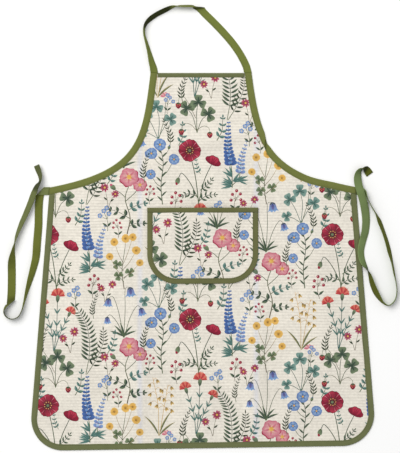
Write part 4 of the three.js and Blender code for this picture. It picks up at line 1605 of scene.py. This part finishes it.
# %% Printed cotton
RIB_PITCH = 6.0 * MM
CORD_PITCH = 1.2 * MM
SLUB_DEPTHS = (-0.02, 0.28)
CORD_TONES = (0.93, 1.07)
THREAD_TONES = (0.86, 1.14)
SOAK_TONES = (0.78, 1.22)
POOL_TONES = (0.9, 1.1)

# Two upright bands near two of the folds, where a cool light is painted in: their places, half their width
# and their cool tint.
LIT_FOLD_LINES = (-128.0 * MM, 109.0 * MM)
LIT_FOLD_HALF = 9.0 * MM
PAINTED_COOL_LIGHT = (0.91, 0.95, 1.08, 1.0)
WHITE = (1.0, 1.0, 1.0, 1.0)


def across_lines(tree, place, pitch, distortion):
    """Soft lines from side to side of the cloth, one pitch apart and a little uneven."""
    sockets = {"Vector": place, "Scale": LEVEL_WAVE / pitch, "Distortion": distortion, "Detail Scale": 0.2}
    return add_node(tree, "ShaderNodeTexWave", sockets, bands_direction="Y").outputs["Fac"]


def paint_fold_light(tree, place):
    """White, and a painted cool light close to the two upright bands."""
    across = add_node(tree, "ShaderNodeSeparateXYZ", {0: place}).outputs["X"]
    bands = []
    for line in LIT_FOLD_LINES:
        gap = maths(tree, "ABSOLUTE", maths(tree, "SUBTRACT", across, line))
        sockets = {"Value": gap, "From Max": LIT_FOLD_HALF, "To Min": 1.0, "To Max": 0.0}
        band = add_node(tree, "ShaderNodeMapRange", sockets, interpolation_type="SMOOTHSTEP")
        bands.append(band.outputs[0])
    return blend(tree, maths(tree, "ADD", *bands), WHITE, PAINTED_COOL_LIGHT)


def printed_cotton():
    finish, tree, shader = new_finish(
        "printed_cotton", Roughness=0.9, Specular_IOR_Level=0.18, Sheen_Weight=0.08, Sheen_Roughness=0.6)
    art_tone = carried(tree, "print_ink", "Color")
    place = add_node(tree, "ShaderNodeTexCoord", {}).outputs["Object"]
    ribs = across_lines(tree, place, RIB_PITCH, 1.6)
    cords = across_lines(tree, place, CORD_PITCH, 1.2)
    weft = add_node(tree, "ShaderNodeMapping", {"Vector": place, "Scale": (500.0, 2400.0, 1.0)}).outputs[0]
    thread = noise(tree, weft, scale=1.0, detail=2.0)
    soak = noise(tree, place, scale=210.0, detail=4.0)
    pool = noise(tree, place, scale=14.0, detail=2.0)
    slub = noise(tree, place, scale=11.0, detail=1.0)
    depth = spread(tree, slub, *SLUB_DEPTHS)
    heavy = maths(tree, "MULTIPLY_ADD", spread(tree, ribs, -0.5, 0.5), depth, 1.0)
    shade = product(
        tree, heavy, spread(tree, cords, *CORD_TONES), spread(tree, thread, *THREAD_TONES),
        spread(tree, soak, *SOAK_TONES), spread(tree, pool, *POOL_TONES))
    # The print is tinted by a painted cool light along two upright bands.
    tinted = scaled_tone(tree, art_tone, paint_fold_light(tree, place))
    relief = maths(tree, "ADD", cords, thread)
    dress(tree, shader, scaled_tone(tree, tinted, shade), relief, strength=0.35, depth=0.3 * MM)
    return finish


cotton = printed_cotton()
print(f"ribs across the cloth every {RIB_PITCH / MM:.1f} mm")

# %% Cut the two panels
BODY_CORNER = (-340.0, -470.0)
POCKET_CORNER_OF_PRINT = (-150.0, -250.0)
RIM_STEP = 5.0
RIM_STATIONS = 120


def half_rim(pleated):
    """The right half of the cloth's own edge, a little inside the fold of its bindings."""
    top = np.array([[BIB_HALF - CLOTH_INSET, BIB_TOP - CLOTH_INSET]])
    edge, inward = armhole_curve(np.linspace(0, 1, RIM_STATIONS))
    inset = CLOTH_INSET + (drawn_in(edge)[0] if pleated else np.zeros(len(edge)))
    armhole = edge + inward * inset[:, None]
    side_start = UNDERARM + side_direction * CLOTH_INSET / (side_direction @ inward[-1])
    edge, inward = hem_half(side_start, RIM_STEP)
    side = edge + inward * CLOTH_INSET
    limit = side[0] + np.outer((armhole[:, 1] - side[0, 1]) / side_direction[1], side_direction)
    armhole = armhole[(armhole[:, 1] < top[0, 1]) & (armhole[:, 0] < limit[:, 0])]
    return np.vstack([top, armhole, side])


def body_rim():
    """The whole edge. Only the right armhole has the pleat."""
    return np.vstack([half_rim(True), half_rim(False)[::-1][1:] * (-1, 1)])


def pocket_rim():
    edge, inward = pocket_half(POCKET_TOP - CLOTH_INSET, RIM_STEP)
    right = edge + inward * CLOTH_INSET
    return np.vstack([right, right[::-1][1:] * (-1, 1)])


body_edge = body_rim()
pocket_edge = pocket_rim()
body_cloth = cloth_panel("body_cloth", "body_panel", body_edge, BODY_CORNER, body_height, cotton)
pocket_cloth = cloth_panel(
    "pocket_cloth", "pocket_panel", pocket_edge, POCKET_CORNER_OF_PRINT, pocket_height, cotton)

# %% [markdown]
# ## Stitches
# A line of machine stitching holds each binding and each tape shut, about three stitches to a
# centimetre. A stitch is a short swelling of thread that dips into the cloth at both ends. One
# small capsule is worked out once and set down in rows by array sums, front and back, which is
# far lighter than thousands of objects.

# %% Stitch rows
STITCH_PITCH = 3.2
STITCH_SPAN = 2.4
THREAD = 0.46
STITCH_SIDES = 6

# One stitch: share of its length, lift in threads and thickness in threads.
STITCH_RINGS = np.array([
    (-0.5, -0.7, 0.5), (-0.32, 0.0, 0.95), (0.0, 0.22, 1.0), (0.32, 0.0, 0.95), (0.5, -0.7, 0.5)])


def stitches(line, normals):
    """Points of the stitches along a line that lies on a surface."""
    along = length_along(line)
    centres = np.arange(STITCH_PITCH / 2, along[-1], STITCH_PITCH)
    place, up, ahead = (
        np.column_stack([np.interp(centres, along, column) for column in values.T])
        for values in (line, normals, np.gradient(line, axis=0)))
    up = unit(up)
    ahead = unit(ahead)
    side = unit(np.cross(up, ahead))
    turn = np.linspace(0, 2 * np.pi, STITCH_SIDES, endpoint=False)
    share, lift, thick = STITCH_RINGS.T[:, :, None]
    forward = np.broadcast_to(share * STITCH_SPAN, (len(STITCH_RINGS), STITCH_SIDES)).ravel()
    rise = ((lift + thick / 2 * np.cos(turn)) * THREAD).ravel()
    aside = (thick / 2 * np.sin(turn) * THREAD).ravel()
    offsets = np.column_stack([forward, rise, aside])
    return place[:, None] + offsets @ np.stack([ahead, up, side], axis=1)


def stitch_faces():
    """Faces of one stitch: quads from ring to ring and a cap at each end."""
    ring = np.arange(STITCH_SIDES)
    after = (ring + 1) % STITCH_SIDES
    faces = []
    for k in range(len(STITCH_RINGS) - 1):
        base = k * STITCH_SIDES
        upper = base + STITCH_SIDES
        faces += np.column_stack([base + ring, upper + ring, upper + after, base + after]).tolist()
    return faces + [ring.tolist(), (upper + ring[::-1]).tolist()]


def sewn(name, rows, finish):
    """Several rows of stitches as one piece."""
    points = np.vstack([stitches(line, normals) for line, normals in rows])
    count, size, _ = points.shape
    one = stitch_faces()
    faces = [[corner + k * size for corner in face] for k in range(count) for face in one]
    piece = make_piece(name, points.reshape(-1, 3), faces, finish)
    print(f"{name}: {count} stitches")
    return piece


print(f"stitches of {STITCH_SPAN} mm every {STITCH_PITCH} mm")

# %% Sewing thread
PLY_TONES = (0.7, 1.3)


def thread_finish(name, tone):
    """Twisted cotton thread: finely mottled, with a little sheen."""
    finish, tree, shader = new_finish(name, Roughness=0.6, Specular_IOR_Level=0.3, Sheen_Weight=0.2)
    place = add_node(tree, "ShaderNodeTexCoord", {}).outputs["Object"]
    ply = noise(tree, place, scale=1800.0, detail=2.0)
    dyed = scaled_tone(tree, ink(tone), spread(tree, ply, *PLY_TONES))
    dress(tree, shader, dyed, ply, strength=0.4, depth=0.1 * MM)
    return finish


green_thread = thread_finish("green_thread", "5f6540")
print("thread is dyed to match the tape")

# %% Sew the bindings and the tapes
GROOVE_SHARE = 0.76


def binding_rows(run, width, height):
    """Stitch lines on the front and the back of a binding, near its lip."""
    edge, inward = run
    share = 1 - STITCH_INSET / width
    edge_in, lip_in = drawn_in(edge)
    flat = edge + inward * (share * width + (1 - share) * edge_in + share * lip_in)[:, None]
    base = CLOTH / 2 + LIP_CLEAR
    rise = base + GROOVE_SHARE * (CHANNEL_HALF - base)
    z = height(*flat.T)
    lifted = PLEAT_RISE * crease(edge, share)[:, 0] * GROOVE_SHARE
    up = np.tile((0.0, 0.0, 1.0), (len(flat), 1))
    return [(lay(*flat.T, z + rise + lifted), up), (lay(*flat.T, z - rise), -up)]


def tape_rows(places, wide, up, width):
    """Stitch lines on both faces of a free tape, near its open edge."""
    line = places - wide * (width / 2 - STITCH_INSET)
    rise = TAPE / 2 * GROOVE_SHARE
    return [(line + up * rise, up), (line - up * rise, -up)]


for name, _, run, kind, height, slot, _ in BINDINGS:
    rows = binding_rows(run, BINDING[kind], height)
    sewn(name.replace("edging", "stitches"), rows, green_thread)
for tape, _, _, _, width, *_ in TAPES:
    rows = tape_rows(*tapes[tape][1:], width)
    sewn(tape + "_stitches", rows, green_thread)

# %% [markdown]
# ## Cords, sheets, sizes and the end
# The two ties are declared as free cords of their real length, and the two panels as sheets
# with the size and the area that they were cut to, each with what is sewn to it. The neck loop
# is held at both ends and so is no free cord. Last, the dressed apron's box is written beside
# the solids' box. Cloth may stand proud of them only by a little.

for tie, places, _, _ in (tapes["left_tie"], tapes["right_tie"]):
    print(f"{tie.name} leaves the apron at {np.round(places[0])} mm")

on_pocket = [name for name in edgings if name.startswith("pocket")]
on_body = [name for name in edgings if name not in on_pocket]
SHEETS = [(body_cloth, body_edge, on_body, []), (pocket_cloth, pocket_edge, on_pocket, ["body_cloth"])]
for sheet, rim, names, under in SHEETS:
    width, length = (rim.max(0) - rim.min(0)) * MM
